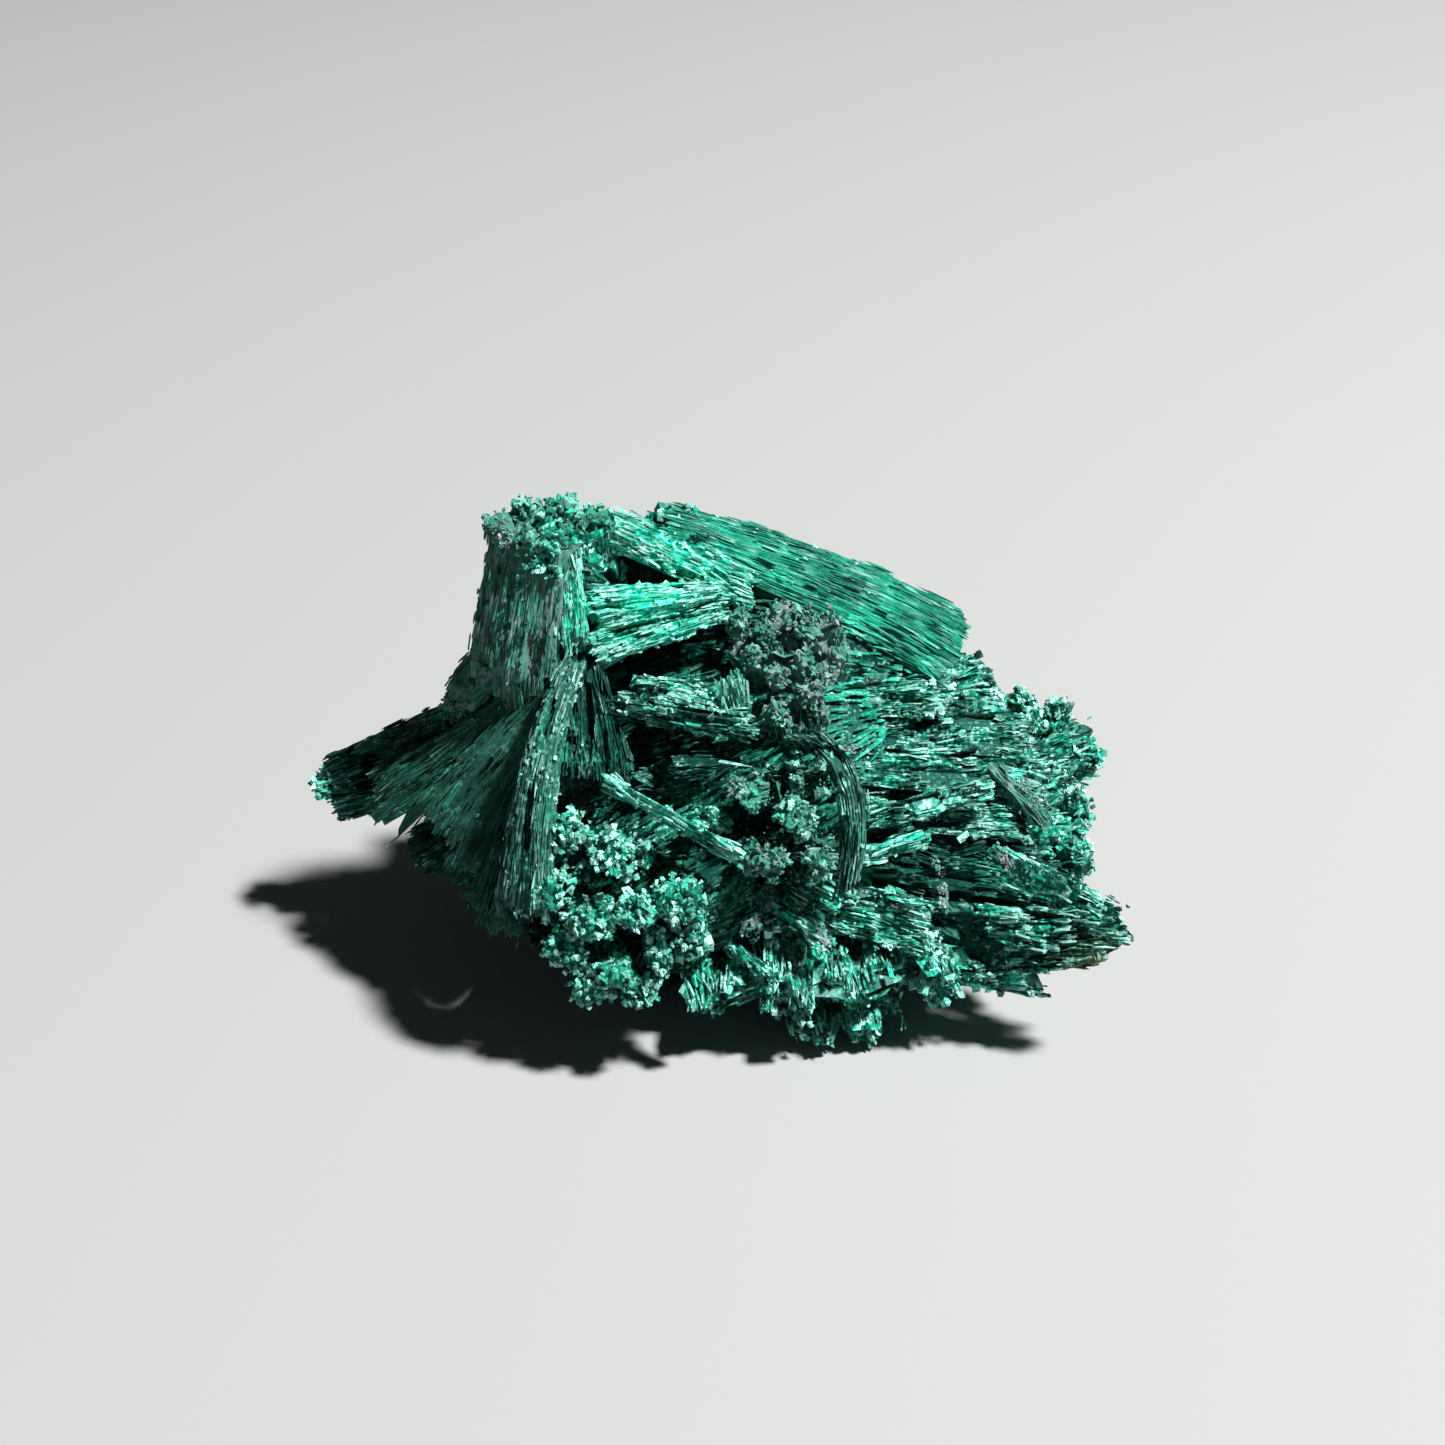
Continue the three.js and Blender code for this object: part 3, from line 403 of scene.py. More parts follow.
# Small marks seen from the camera: their place in the picture as shares of its width from the upper
# left, length and width in millimetres, the angle of their length to the right, and whether they
# are grey flakes (1) or near-black chips that paint the shade of pits (0)
MARKS = [
    (0.716, 0.552, 3.6, 0.9, -50, 1), (0.694, 0.592, 2.0, 0.7, -60, 1), (0.649, 0.6, 1.6, 0.7, -60, 1),
    (0.654, 0.622, 2.0, 0.7, -75, 1), (0.622, 0.628, 0.9, 0.6, 0, 1), (0.532, 0.619, 2.2, 1.4, 60, 1),
    (0.545, 0.656, 2.4, 0.8, -50, 1), (0.571, 0.647, 1.6, 0.9, -70, 1), (0.508, 0.545, 1.4, 0.8, 80, 1),
    (0.318, 0.488, 1.6, 0.6, 10, 1), (0.603, 0.471, 1.2, 0.8, 40, 1), (0.588, 0.517, 1.2, 0.7, -20, 1),
    (0.52, 0.64, 1.4, 1.0, 20, 1), (0.555, 0.5, 1.2, 0.6, 60, 1),
    (0.349, 0.429, 0.9, 0.4, -60, 0), (0.352, 0.434, 0.7, 0.3, 30, 0), (0.334, 0.46, 0.8, 0.3, -50, 0),
    (0.359, 0.405, 0.5, 0.3, 60, 0), (0.345, 0.395, 0.4, 0.25, 60, 0), (0.361, 0.474, 0.6, 0.3, 50, 0),
    (0.327, 0.472, 0.5, 0.25, -60, 0), (0.353, 0.449, 0.4, 0.2, 70, 0), (0.336, 0.417, 0.4, 0.2, 50, 0),
]


def amount(name, description, default, least=0.0, **kind):
    """A size or a power that can be changed in the panel."""
    return FloatProperty(name=name, description=description, default=default, min=least, **kind)


def colour(name, description, default):
    """A colour that can be changed in the panel."""
    return FloatVectorProperty(name=name, description=description, default=default, min=0.0, max=1.0,
                               size=3, subtype="COLOR")


class FibreSizes(bpy.types.PropertyGroup):
    """Sizes of the needles and crumbs."""
    needle_width: amount("Needle width", "Width of all needles, as a share of the looks' own", 1.0, 0.5,
                         max=2.0, subtype="FACTOR")
    chip_size: amount("Chip size", "Size of all crumbs, as a share of the looks' own", 1.0, 0.5,
                      max=2.0, subtype="FACTOR")
    stone_inset: amount("Stone inset", "Depth of a sheet's stone under its needles", 0.00004,
                        max=0.002, unit="LENGTH")
    core_inset: amount("Core inset", "Depth of the massive stone under its needles", 0.0006,
                       max=0.002, unit="LENGTH")


class StoneColours(bpy.types.PropertyGroup):
    """Colours of the stone, from the near black of its painted shade in hollows to its pale broken ends."""
    # The darkest green, which the painted shade in gaps, grooves, undersides, pockets and pits reaches
    hollow: colour("Hollows", "Green of the stone between the needles", (0.001, 0.03, 0.022))
    needle: colour("Needles", "Green of the needles seen along their length", (0.004, 0.24, 0.15))
    bright: colour("Bright needles", "Green of the lightest, silkiest needles", (0.02, 0.64, 0.45))
    # Also the colour of the pale specks that are painted as glints: painted highlight
    broken: colour("Broken ends", "Pale green where needles are broken off", (0.5, 0.96, 0.88))
    weathered: colour("Weathered", "Dull grey-green of the weathered flank", (0.10, 0.17, 0.15))
    lilac: colour("Lilac grey", "Purplish grey crust on the most weathered crumbs", (0.27, 0.3, 0.34))
    stain: colour("Stain", "Yellow-brown stain at the right tip", (0.26, 0.24, 0.08))


class StageSettings(bpy.types.PropertyGroup):
    """Light and floor."""
    key_power: amount("Key light", "Power of the light from the upper right", 38.0, unit="POWER")
    fill_power: amount("Fill light", "Power of the broad light from the left", 0.13, unit="POWER")
    floor_colour: colour("Floor", "Colour of the pale floor", (0.32, 0.33, 0.33))


def unit(vectors):
    """The vectors made one long."""
    return vectors / np.linalg.norm(vectors, axis=-1, keepdims=True)


def buried(rings, own, margin):
    """Which rows have all points deeper than margin in a heart or in a sheet other than own."""
    hidden = np.zeros(rings.shape[:-1], bool)
    for centre, radii in HEARTS:
        hidden |= (((rings - np.array(centre)) / (np.array(radii) - margin)) ** 2).sum(-1) < 1
    for one in ALL_SHEETS:
        if one is not own:
            hidden |= one.holds(rings, margin)
    return hidden.all(axis=1)


def shown(start, end, own, margin):
    """Which needles from start to end show: they are neither buried nor down on the floor."""
    rings = np.stack([start, (start + end) / 2, end], 1)
    return ~buried(rings, own, margin) & (rings[..., 2].min(1) > CLEAR_OF_FLOOR)


# Meshes as plain arrays: corners, triangles, and what the materials read

TONES = ("shade", "tip", "grey", "grit")


def join(shells):
    """One set of arrays from several, with the triangles' corner numbers moved on."""
    firsts = np.cumsum([0] + [len(one["co"]) for one in shells[:-1]])
    merged = {key: np.concatenate([one[key] for one in shells]) for key in ("co", "uv", *TONES)}
    merged["tri"] = np.concatenate([one["tri"] + first for one, first in zip(shells, firsts)])
    return merged


def copies(co, triangles, uv, tones):
    """Arrays of many shells with the same triangles: co is (shells, corners, 3), uv is (shells,
    triangles, 3, 2), and each tone has one value for each shell, or for each corner."""
    count, per = co.shape[:2]
    spread = {key: np.broadcast_to(np.reshape(tone, (-1, 1)) if np.ndim(tone) < 2 else tone,
                                   (count, per)).ravel() for key, tone in zip(TONES, tones)}
    return dict(co=co.reshape(-1, 3), uv=uv.reshape(-1, 2),
                tri=(triangles + per * np.arange(count)[:, None, None]).reshape(-1, 3), **spread)


def tube_pattern(sides, rings):
    """Triangles of a closed tube from rings of corners and a pole at either end, with each
    corner's step round it and ring along it."""
    tri, steps = [], []
    last = (rings - 1) * sides
    for k in range(sides):
        n = (k + 1) % sides
        for r in range(rings - 1):
            low, high = r * sides, (r + 1) * sides
            tri += [(low + k, low + n, high + n), (low + k, high + n, high + k)]
            steps += [((k, r), (k + 1, r), (k + 1, r + 1)), ((k, r), (k + 1, r + 1), (k, r + 1))]
        tri += [(rings * sides, n, k), (rings * sides + 1, last + k, last + n)]
        steps += [((k, -0.4), (k + 1, 0), (k, 0)),
                  ((k, rings - 0.6), (k, rings - 1), (k + 1, rings - 1))]
    return np.array(tri), np.array(steps, float)


def needle_shell(start, end, side, wide, rng, shade, pale, grey, grit, blunt):
    """Closed needles from start to end with three uneven sides and a point at either end. The
    corner at angle t of a ring is centre + across w cos t + out w sin t, where w is wide times a
    random share. A needle thins out over up to half its length, but a blunt one ends within about
    one width. Pale above 1 lightens a whole needle, not its end alone."""
    count, sides = len(start), 3
    along = end - start
    length = np.linalg.norm(along, axis=1, keepdims=True)
    along = along / length
    across = unit(side - along * (side * along).sum(1, keepdims=True))
    out = np.cross(along, across)
    angle = (np.arange(sides) / sides + rng.random((count, 1))) * 2 * math.pi
    uneven = rng.uniform(0.75, 1.2, (count, 2, sides))
    x = wide[:, None, None] * uneven * np.cos(angle)[:, None]
    y = wide[:, None, None] * uneven * np.sin(angle)[:, None]
    thinning = rng.uniform(0.12, 0.48, (count, 2)) * length
    square = np.minimum(rng.uniform(0.5, 1.8, (count, 2)) * wide[:, None], 0.3 * length)
    short = np.where(np.stack([np.zeros(count, bool), blunt], 1), square, thinning)[..., None]
    centres = np.stack([start + along * short[:, 0], end - along * short[:, 1]], 1)
    slant = wide[:, None, None] * rng.uniform(-0.9, 0.9, (count, 2, sides))
    rings = centres[:, :, None] + across[:, None, None] * x[..., None] + out[:, None, None] * y[..., None]
    rings += along[:, None, None] * slant[..., None]
    light = np.array([0] * sides + [0.35] * sides + [0.3, 1.0])
    tip = light * np.minimum(pale, 1)[:, None] + 0.7 * np.maximum(pale - 1, 0)[:, None]
    triangles, around = tube_pattern(sides, 2)
    uv = np.empty((count, len(triangles), 3, 2))
    uv[..., 0] = around[..., 0] / sides + rng.random(count)[:, None, None] * 50
    uv[..., 1] = around[..., 1] * length[:, None] + 50 * rng.random((count, 1, 1))
    co = np.concatenate([rings.reshape(count, -1, 3), start[:, None], end[:, None]], axis=1)
    return copies(co, triangles, uv, (shade, np.minimum(tip, 1), grey, np.full(count, float(grit))))


def stone_shell(one, sunk, rng):
    """The stone of one sheet: a closed tube with a ridge and a groove for each strand on top and
    coarser ones on its underside. Both ends are closed by unevenly broken rings that shrink to the
    middle: middle + s (ring - middle) for s down from 1, pushed up to 1.2 millimetres inwards."""
    look = one.look
    strands = max(4, round(one.width / look.strand))
    rings = max(5, round(one.length / look.pace))
    over = np.linspace(-1, 1, 2 * strands + 1)
    under = np.cos(np.linspace(0, math.pi, round(0.8 * strands) + 4))[1:-1]
    a = np.concatenate([over, under])
    around = len(a)
    first, stop = one.ends(a)
    u = np.arange(rings)[:, None] + rng.uniform(-0.4, 0.4, (rings, around))
    u = first + np.clip(u / (rings - 1), 0, 1) * (stop - first)
    a = np.repeat(a[None], rings, 0)
    depth, tone, share_along = one.relief(a, u)
    on_top = np.arange(around) < len(over)
    groove = np.arange(around) % 2 == 0
    cut = look.strand * (1 - 0.7 * look.even)
    depth = depth + sunk + groove * cut * rng.uniform(0.2, 1.2, (rings, around))
    points = np.where(on_top[:, None], one.upper(0.96 * a, u, depth, 1.0),
                      one.lower(0.96 * a, u, 0.7 * depth))
    caps = points[[0, -1]].mean(1) + one.axis * np.array([[0.5], [-0.6]])
    # painted shade: the grooves and the underside are darker
    rows, tones = [points], [tone - 0.2 * groove - 0.2 * ~on_top]
    tips = [share_along * rng.random((rings, around))]
    for s, end in ((0.8, -1), (0.5, -1), (0.2, -1), (0.6, 0)):
        push = rng.uniform(-1.2, 0.1, (around, 1)) * (-1 if end == 0 else 1)
        row = caps[end] + s * (points[end] - caps[end]) + one.axis * push
        where = 0 if end == 0 else len(rows)
        rows.insert(where, row[None])
        tones.insert(where, rng.uniform(-0.5, 0.2, (1, around)))
        tips.insert(where, 0.6 * rng.random((1, around)))
    points, tone, tip = (np.concatenate(group) for group in (rows, tones, tips))
    co = np.concatenate([points.reshape(-1, 3), caps])
    co[:, 2] = np.maximum(co[:, 2], 0.02)
    tri = tube_pattern(around, len(points))[0][:, ::-1]
    a = np.append(2 * np.arange(around) / around - 1 + 0 * tone, (0, 0))
    u = np.append(np.linspace(0, 1, len(points))[:, None] + 0 * tone, (0, 1))
    return dict(
        co=co, tri=tri, uv=np.stack([0.25 * (a * one.width * 0.9), u * one.length + 7], 1)[tri.ravel()],
        shade=np.append(np.clip(0.45 - look.dim + tone, 0, 1), (0.1, 0.2)),
        tip=np.append(0.6 * look.pale * tip, (0, 0)),
        grey=np.full(len(co), look.grey), grit=np.full(len(co), look.grit))


def needle_places(one, rng):
    """Start and end of the needles that lie in the surface of a sheet, with their tones. Each
    starts half sunk in its strand and keeps its direction, also over a break. Needle i has the
    place, direction and tone of block kin[i], and a single needle is a block of its own."""
    look, length, half_width = one.look, one.length, one.width / 2
    count = int(1.5 * look.cover * (length * half_width * (one.taper + 1)) / (look.needle * look.run))
    blocks = count // NEEDLES_IN_BLOCK + 1
    together = rng.random(count) < look.blocks
    kin = np.where(together, rng.integers(0, blocks, count), blocks + np.arange(count))
    a = rng.uniform(-1, 1, blocks + count)[kin]
    run = rng.uniform(0.4, 1.5, blocks + count)[kin] * look.run / length
    u0 = rng.uniform(0, 1, blocks + count)[kin] - 0.5 * run
    yaw, pitch = rng.normal(0, 1, (2, blocks + count))[:, kin]
    place = rng.random(blocks + count)[kin]
    shade = rng.normal(0, 1, blocks + count)[kin] * np.where(together, 0.24, 0.14)
    shade *= min(1, 0.3 + 0.8 * look.grit)
    first, stop = one.ends(a)
    u0, u1 = np.maximum(u0, first - 0.2 / length), np.minimum(u0 + run, stop + 0.2 / length)
    depth, tone, _ = one.relief(a, u0)

    a = a + together * rng.uniform(-0.4, 0.4, count) / half_width
    u0 = u0 + together * rng.normal(0, 0.08, count) * run
    u1 = u1 - together * rng.random(count) * 0.15 * run
    beside, below = place > 1 - SHARE_BESIDE, place < SHARE_BELOW
    a = np.clip(np.where(beside, np.sign(a) * (1 - 0.06 * rng.random(count)), 0.95 * a), -1, 1)
    rise = np.where(beside, rng.uniform(-0.2, 1, count), 1)
    sunk = np.where(together, rng.uniform(-0.5, 0.1, count), look.needle * rng.uniform(-0.35, 0.5, count))
    lean = np.tan(np.radians(look.pitch * (0.5 + pitch))) * (u1 - u0) * length
    start, end = (np.where(below[:, None], one.lower(a, u, sunk - lift),
                           one.upper(a, u, depth * rise + sunk - lift, rise))
                  for u, lift in ((u0, 0), (u1, lean)))
    spin = look.yaw * np.where(np.abs(a) > 0.75, -np.sign(a) * np.abs(yaw), yaw)
    end = end + one.side * (np.tan(np.radians(spin)) * (u1 - u0) * length)[:, None]
    keep = u1 - u0 > 0.3 / length
    # painted shade: needles on the underside are darker, and tone carries the relief's painted shade
    shade = tone + shade + rng.normal(0, 0.08, count) - 0.2 * below
    return start[keep], end[keep], shade[keep]


def end_places(one, rng, at_tip):
    """Start and end of the short needles that show on the broken face at a sheet's tip or root.
    They fill its section in cells, and each cell breaks off at its own place."""
    look, length = one.look, one.length
    size = 1 if at_tip else one.taper
    pitch = 1.75 * look.needle
    wide = math.ceil(size * one.width / pitch)
    tall = math.ceil(0.75 * size * one.thick / pitch)
    a = ((np.arange(wide)[:, None] + rng.uniform(0, 1, (wide, tall))) * 2 / wide - 1).ravel()
    b = (-0.75 + 1.7 * (np.arange(tall)[None] + rng.uniform(0, 1, (wide, tall))) / tall).ravel()
    count = len(a)
    column = ((a + 1) * one.width / 2 / 1.1).astype(int)
    row = ((b + 1) * one.thick / 2 / 0.9).astype(int)
    cells = rng.random((column.max() + 1, row.max() + 1))[column, row]
    short = (rng.uniform(0, 0.75, count) ** 2 * 0.9 + 0.8 * rng.random(count) ** 4) / length
    inwards = rng.uniform(0.9, 1.8, count) / length
    first, last = one.ends(a)
    if at_tip:
        stop = last - 0.8 * cells / length - short
        start = stop - inwards
    else:
        stop = first + 0.6 * cells / length + 0.5 * short
        start = stop + inwards
    height = np.where(b > 0, b * one.top(a), 0.85 * b * np.sqrt(1 - 0.9 * a ** 2))
    start, end = (one.point(0.97 * a, height * one.half(u), u) for u in (start, stop))
    lean = np.radians(0.6 * look.pitch + 4) * np.linalg.norm(end - start, axis=1, keepdims=True)
    end += one.side * lean * rng.normal(size=(count, 1))
    end += one.normal * lean * rng.normal(size=(count, 1))
    return start, end, rng.normal(0.08, 0.15, count)


def sheet_shell(one, rng, sunk, width_share):
    """The stone of one sheet and those of its needles that aren't buried."""
    look = one.look
    parts = [needle_places(one, rng), end_places(one, rng, True), end_places(one, rng, False)]
    start, end, shade = (np.concatenate(group) for group in zip(*parts))
    keep = shown(start, end, one, SHEET_MARGIN)
    start, end, shade = start[keep], end[keep], shade[keep]
    count = len(start)
    wide = 0.56 * look.needle * width_share * rng.uniform(0.6, 1.6, count)
    lightness = np.clip(0.9 + 1.8 * shade, 0.2, 1.8)
    pale = look.pale * lightness * rng.uniform(0.1, 1.0, count)
    pale += (1.1 + 0.9 * rng.random(count) - pale) * (rng.random(count) < look.fleck * lightness)
    grey = np.clip(look.grey * rng.uniform(0.7, 1.15, count), 0, 1)
    blunt = rng.random(count) < look.blunt
    needles = needle_shell(start, end, one.side, wide, rng, np.clip(0.5 - look.dim + shade, 0, 1),
                           pale, grey, look.grit, blunt)
    return join([stone_shell(one, sunk, rng), needles])


def sheet_clumps(one, rng, chip_share):
    """Clumps of chips over the top, the sides and the broken end of one sheet. Half of those
    beside it lie on its underside near the edge."""
    look = one.look
    top = int(look.clumps * one.length * one.width * (one.taper + 1) / 2)
    face = int(look.clumps * one.width * one.thick * 0.7)
    beside = int(look.clumps * one.length * one.thick * 0.5)
    count = top + face + beside
    a = rng.uniform(-0.95, 0.95, count)
    a[top + face:] = np.sign(a[top + face:])
    rise = np.ones(count)
    rise[top:] = rng.uniform(-0.5, 1, face + beside)
    first, last = one.ends(a)
    u = first + rng.uniform(0.02, 1, count) * (last - first)
    u[top:top + face] = (last - rng.uniform(0, 1, count) / one.length)[top:top + face]
    depth, _, _ = one.relief(a, u)
    points = one.upper(a, u, depth * (rise == 1), rise)
    low = np.arange(count) >= top + face + beside // 2
    points[low] = one.lower(a[low] * rng.uniform(0.5, 1, low.sum()), u[low], 0.1)
    ways = one.axis + rng.normal(0, 0.25 + 0.02 * look.yaw, (count, 3))
    return clumps_at(points, ways, chip_share * look.chip, look.grey, look.dim, rng)


def spread_ball(count):
    """Points spread evenly over a ball of radius 1, by the golden angle."""
    k = np.arange(count) + 0.5
    level = 1 - 2 * k / count
    swing = k * math.pi * (3 - math.sqrt(5))
    flat = np.sqrt(1 - level ** 2)
    return np.stack([flat * np.cos(swing), flat * np.sin(swing), level], 1)


def heart_needles(rng, width_share):
    """Needles on the hearts that all run to the nose: each goes from a point of the surface along
    tangent + a little normal, where the tangent is the way to the nose. They are painted dark, as
    the shade inside the cluster, and lighter on the upper right near the nose, as painted light."""
    shells = []
    for centre, radii in HEARTS:
        centre, radii = np.array(centre, float), np.array(radii, float)
        area = 4 * math.pi * (radii[0] * radii[1] + radii[1] * radii[2] + radii[0] * radii[2]) / 3
        ball = spread_ball(int(1.5 * area))
        ball = unit(ball + 0.04 * rng.normal(size=ball.shape))
        count = len(ball)
        normal = unit(ball / radii)
        start = centre + ball * (radii - 0.2)
        way = NOSE - start
        tangent = unit(way - normal * (way * normal).sum(1, keepdims=True))
        aim = tangent + 0.08 * rng.normal(size=(count, 3)) + normal * rng.uniform(-0.02, 0.06, (count, 1))
        end = start + unit(aim) * rng.uniform(0.8, 2.4, (count, 1))
        keep = shown(start, end, None, HEART_MARGIN)
        start, end, normal = start[keep], end[keep], normal[keep]
        left = len(start)
        # painted light on the upper right near the nose; elsewhere the needles stay dark, as painted shade
        lit = np.clip((start[:, 2] - 13) / 5, 0, 1) * np.clip((start[:, 0] - 3) / 5, 0, 1)
        wide = 0.13 * width_share * rng.uniform(0.7, 1.5, left)
        shells.append(needle_shell(
            start, end, normal, wide, rng, rng.uniform(0, 0.3, left) + 0.6 * lit,
            rng.uniform(0, 0.3, left) + 0.7 * lit * rng.random(left), rng.uniform(0, 0.3, left), 0.6,
            rng.random(left) < 0.4))
    return join(shells)


# Corners and triangles of the chips, which are long along y: with three sides and with four
PRISM = (
    np.array([(x, y, z) for y in (-1.5, 1.5) for x, z in ((0, 1), (-0.87, -0.5), (0.87, -0.5))]),
    np.array([(0, 1, 2), (3, 5, 4), (0, 4, 1), (0, 3, 4), (1, 5, 2), (1, 4, 5), (2, 3, 0), (2, 5, 3)]))
BRICK = (
    np.array([(x, y, z) for x in (-0.6, 0.6) for y in (-1.0, 1.0) for z in (-0.6, 0.6)]),
    np.array([(0, 1, 3), (0, 3, 2), (4, 6, 7), (4, 7, 5), (0, 4, 5), (0, 5, 1),
              (2, 3, 7), (2, 7, 6), (0, 2, 6), (0, 6, 4), (1, 5, 7), (1, 7, 3)]))


def chip_shell(form, points, ways, radii, rng, shade, tip, grey):
    """One uneven chip for each point, long along its way and stretched at random."""
    corners, triangles = form
    count, per = len(points), len(corners)
    along = unit(ways)
    across = unit(np.cross(along, rng.normal(size=(count, 3))))
    axes = np.stack([across, along, np.cross(across, along)], 1)
    arms = corners * rng.uniform(0.5, 1.4, (count, 1, 3)) * rng.uniform(0.65, 1.25, (count, per, 1))
    co = points[:, None] + arms @ axes * radii[:, None, None]
    flat = corners[:, :2] + corners[:, 2:] * (0.7, 0)
    uv = flat[triangles] * radii[:, None, None, None] + rng.random((count, 1, 1, 2)) * 50
    return copies(co, triangles, uv, (shade, tip, grey, np.full(count, 0.45)))


def clumps_at(points, ways, size, grey, dim, rng):
    """Clumps of chips, of about the given size: a large chip in the middle of each clump and
    smaller ones round it, all of them along much the same way."""
    keep = ~buried(points[:, None], None, CHIP_MARGIN) & (points[:, 2] > size)
    points, ways = points[keep], unit(ways[keep])
    count = len(points)
    sizes = size * rng.uniform(0.55, 1.45, count)
    tones = rng.normal(0.68 - dim, 0.2, count)
    pales = rng.uniform(0.1, 1.25, count) * (1.0 - 0.3 * grey)
    greys = grey * rng.uniform(0.5, 1.3, count)
    shells = []
    for form, per, reach, part in ((BRICK, 1, 0.3, 0.7), (PRISM, 6, 0.8, 0.36)):
        shape = (count, per)
        aside = unit(rng.normal(size=(count, per, 3))) * reach * sizes[:, None, None]
        aside *= rng.uniform(0.2, 1, (count, per, 1))
        lean = (ways[:, None] + 0.3 * rng.normal(size=(count, per, 3))).reshape(-1, 3)
        radii = part * sizes[:, None] * rng.uniform(0.4, 1.5, shape)
        shade = np.clip(tones[:, None] + rng.normal(0, 0.18, shape), 0, 1)
        tip = rng.uniform(0.7, 1.15, shape) * pales[:, None]
        dull = np.clip(greys[:, None] + rng.normal(0, 0.1, shape) * grey, 0, 1)
        shells.append(chip_shell(form, (points[:, None] + aside).reshape(-1, 3), lean, radii.ravel(),
                                 rng, shade.ravel(), tip.ravel(), dull.ravel()))
    return join(shells)


def lump_radii(lump):
    """Half sizes of a lump along X, Y and Z, so that no two are alike: size (1 + 0.2 sin(7 centre))."""
    return lump[3] * (1 + 0.2 * np.sin(7 * np.array(lump[:3])))


def lump_clumps(lump, rng, chip_share):
    """Clumps of chips all over a lump, finer ones where it is weathered."""
    *centre, size, grey = lump
    fine = 0.65 if grey > 0.7 else 1.0
    ball = spread_ball(int(20 * (size / fine) ** 2))
    away = lump_radii(lump) * rng.uniform(0.62, 0.95, (len(ball), 1))
    points = centre + unit(ball + 0.25 * rng.normal(size=ball.shape)) * away
    ways = unit(points - centre) + rng.normal(0, 0.7, points.shape)
    return clumps_at(points, ways, chip_share * fine * 0.27, grey, 0, rng)


def view_ways(right, up):
    """Directions from the eye through picture points that lie right and up of its middle, in
    shares of its width: ahead + (right, up) / FOCAL, where ahead is pitched down."""
    pitch = math.radians(PITCH)
    ahead = np.array([0, math.cos(pitch), -math.sin(pitch)])
    upward = np.array([0, math.sin(pitch), math.cos(pitch)])
    return unit(ahead + (right[..., None] * np.array([1.0, 0, 0]) + up[..., None] * upward) / FOCAL)


def mark_shell(context, mark, rng):
    """Chips strewn over one mark, wherever a ray from the eye through it meets the stone."""
    x, y, length, width, turn, flaky = mark
    count = int(40 * length * width) + 4
    along = rng.uniform(-0.5, 0.5, count) * length / PICTURE_WIDTH
    beside = rng.uniform(-0.5, 0.5, count) * width / PICTURE_WIDTH
    cos_t, sin_t = math.cos(math.radians(turn)), math.sin(math.radians(turn))
    ways = view_ways(x - 0.5 + along * cos_t - beside * sin_t, 0.5 - y + along * sin_t + beside * cos_t)
    depsgraph = context.evaluated_depsgraph_get()
    eye = Vector((EYE + SHIFT) * MM)
    found = [context.scene.ray_cast(depsgraph, eye, Vector(way)) for way in ways]
    points = np.array([np.array(place) / MM - SHIFT for hit, place, *_ in found if hit]).reshape(-1, 3)
    count = len(points)
    radii = rng.uniform(0.08, 0.17, count)
    turned = view_ways(np.array([0.01 * cos_t, 0.0]), np.array([0.01 * sin_t, 0.0]))
    lies = turned[0] - turned[1] + rng.normal(0, 0.002, (count, 3))
    # flaky 0 gives near-black chips: the painted shade of pits
    return chip_shell(BRICK, points, lies, radii, rng, flaky * rng.uniform(0.3, 0.9, count),
                      flaky * rng.uniform(0, 0.5, count), flaky * rng.uniform(1.0, 1.2, count))


# shade is dark by default: painted shade for the hearts, which show only in the gaps between sheets
def ball_shell(centre, radii, around, up, rough, rng, shade=0.12, grey=0.0):
    """A closed ball on a grid of two angles, its radius swollen by a few random waves."""
    theta = np.linspace(0, math.pi, up + 1)[1:-1]
    phi = np.arange(around) * 2 * math.pi / around
    sin_t, cos_t = np.sin(theta)[:, None], np.cos(theta)[:, None]
    ball = np.stack([sin_t * np.cos(phi), sin_t * np.sin(phi), cos_t + 0 * phi], -1).reshape(-1, 3)
    ball = np.concatenate([ball, [(0, 0, 1), (0, 0, -1)]])
    waves = rng.normal(0, 5, (7, 3))
    swell = 1 + rough * np.sin(ball @ waves.T + rng.uniform(0, 6, 7)).sum(1) / 3
    co = np.array(centre) + ball * np.array(radii) * swell[:, None]
    tri = tube_pattern(around, up - 1)[0][:, ::-1]
    uv = 0.3 * np.repeat(co[tri][..., :1], 2, -1)
    return copies(co[None], tri, uv, (shade, 0.0, grey, 1.0))


def add_object(name, data):
    """An object with the given data, in the scene."""
    added = bpy.data.objects.new(name, data)
    bpy.context.scene.collection.objects.link(added)
    return added


def make_piece(name, shell):
    """A mesh object from the arrays, which rides with the solid and stands for it."""
    co = (shell["co"] + SHIFT) * MM
    co[:, 2] = np.maximum(co[:, 2], 0.00001)
    mesh = bpy.data.meshes.new(name)
    mesh.from_pydata(co, [], shell["tri"])
    fibre = mesh.uv_layers.new(name="Fibre")
    fibre.data.foreach_set("uv", shell["uv"].astype(np.float32).ravel())
    for key in TONES:
        store = mesh.attributes.new(name=key, type="FLOAT", domain="POINT")
        store.data.foreach_set("value", shell[key].astype(np.float32))
    mesh.materials.append(shared_material())
    piece = add_object(name, mesh)
    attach(piece, "root")
    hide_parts(NODE)


# Materials

# Middle and reach of the brown stain, in metres, and how many patches, flecks of frost, grains and
# crystal cells there are in a metre
STAIN, STAIN_REACH = (0.0275, -0.0168, 0.0085), 0.003
PATCHES, FROST, GRAINS, CELLS = 260.0, 620.0, 2600.0, 4200.0


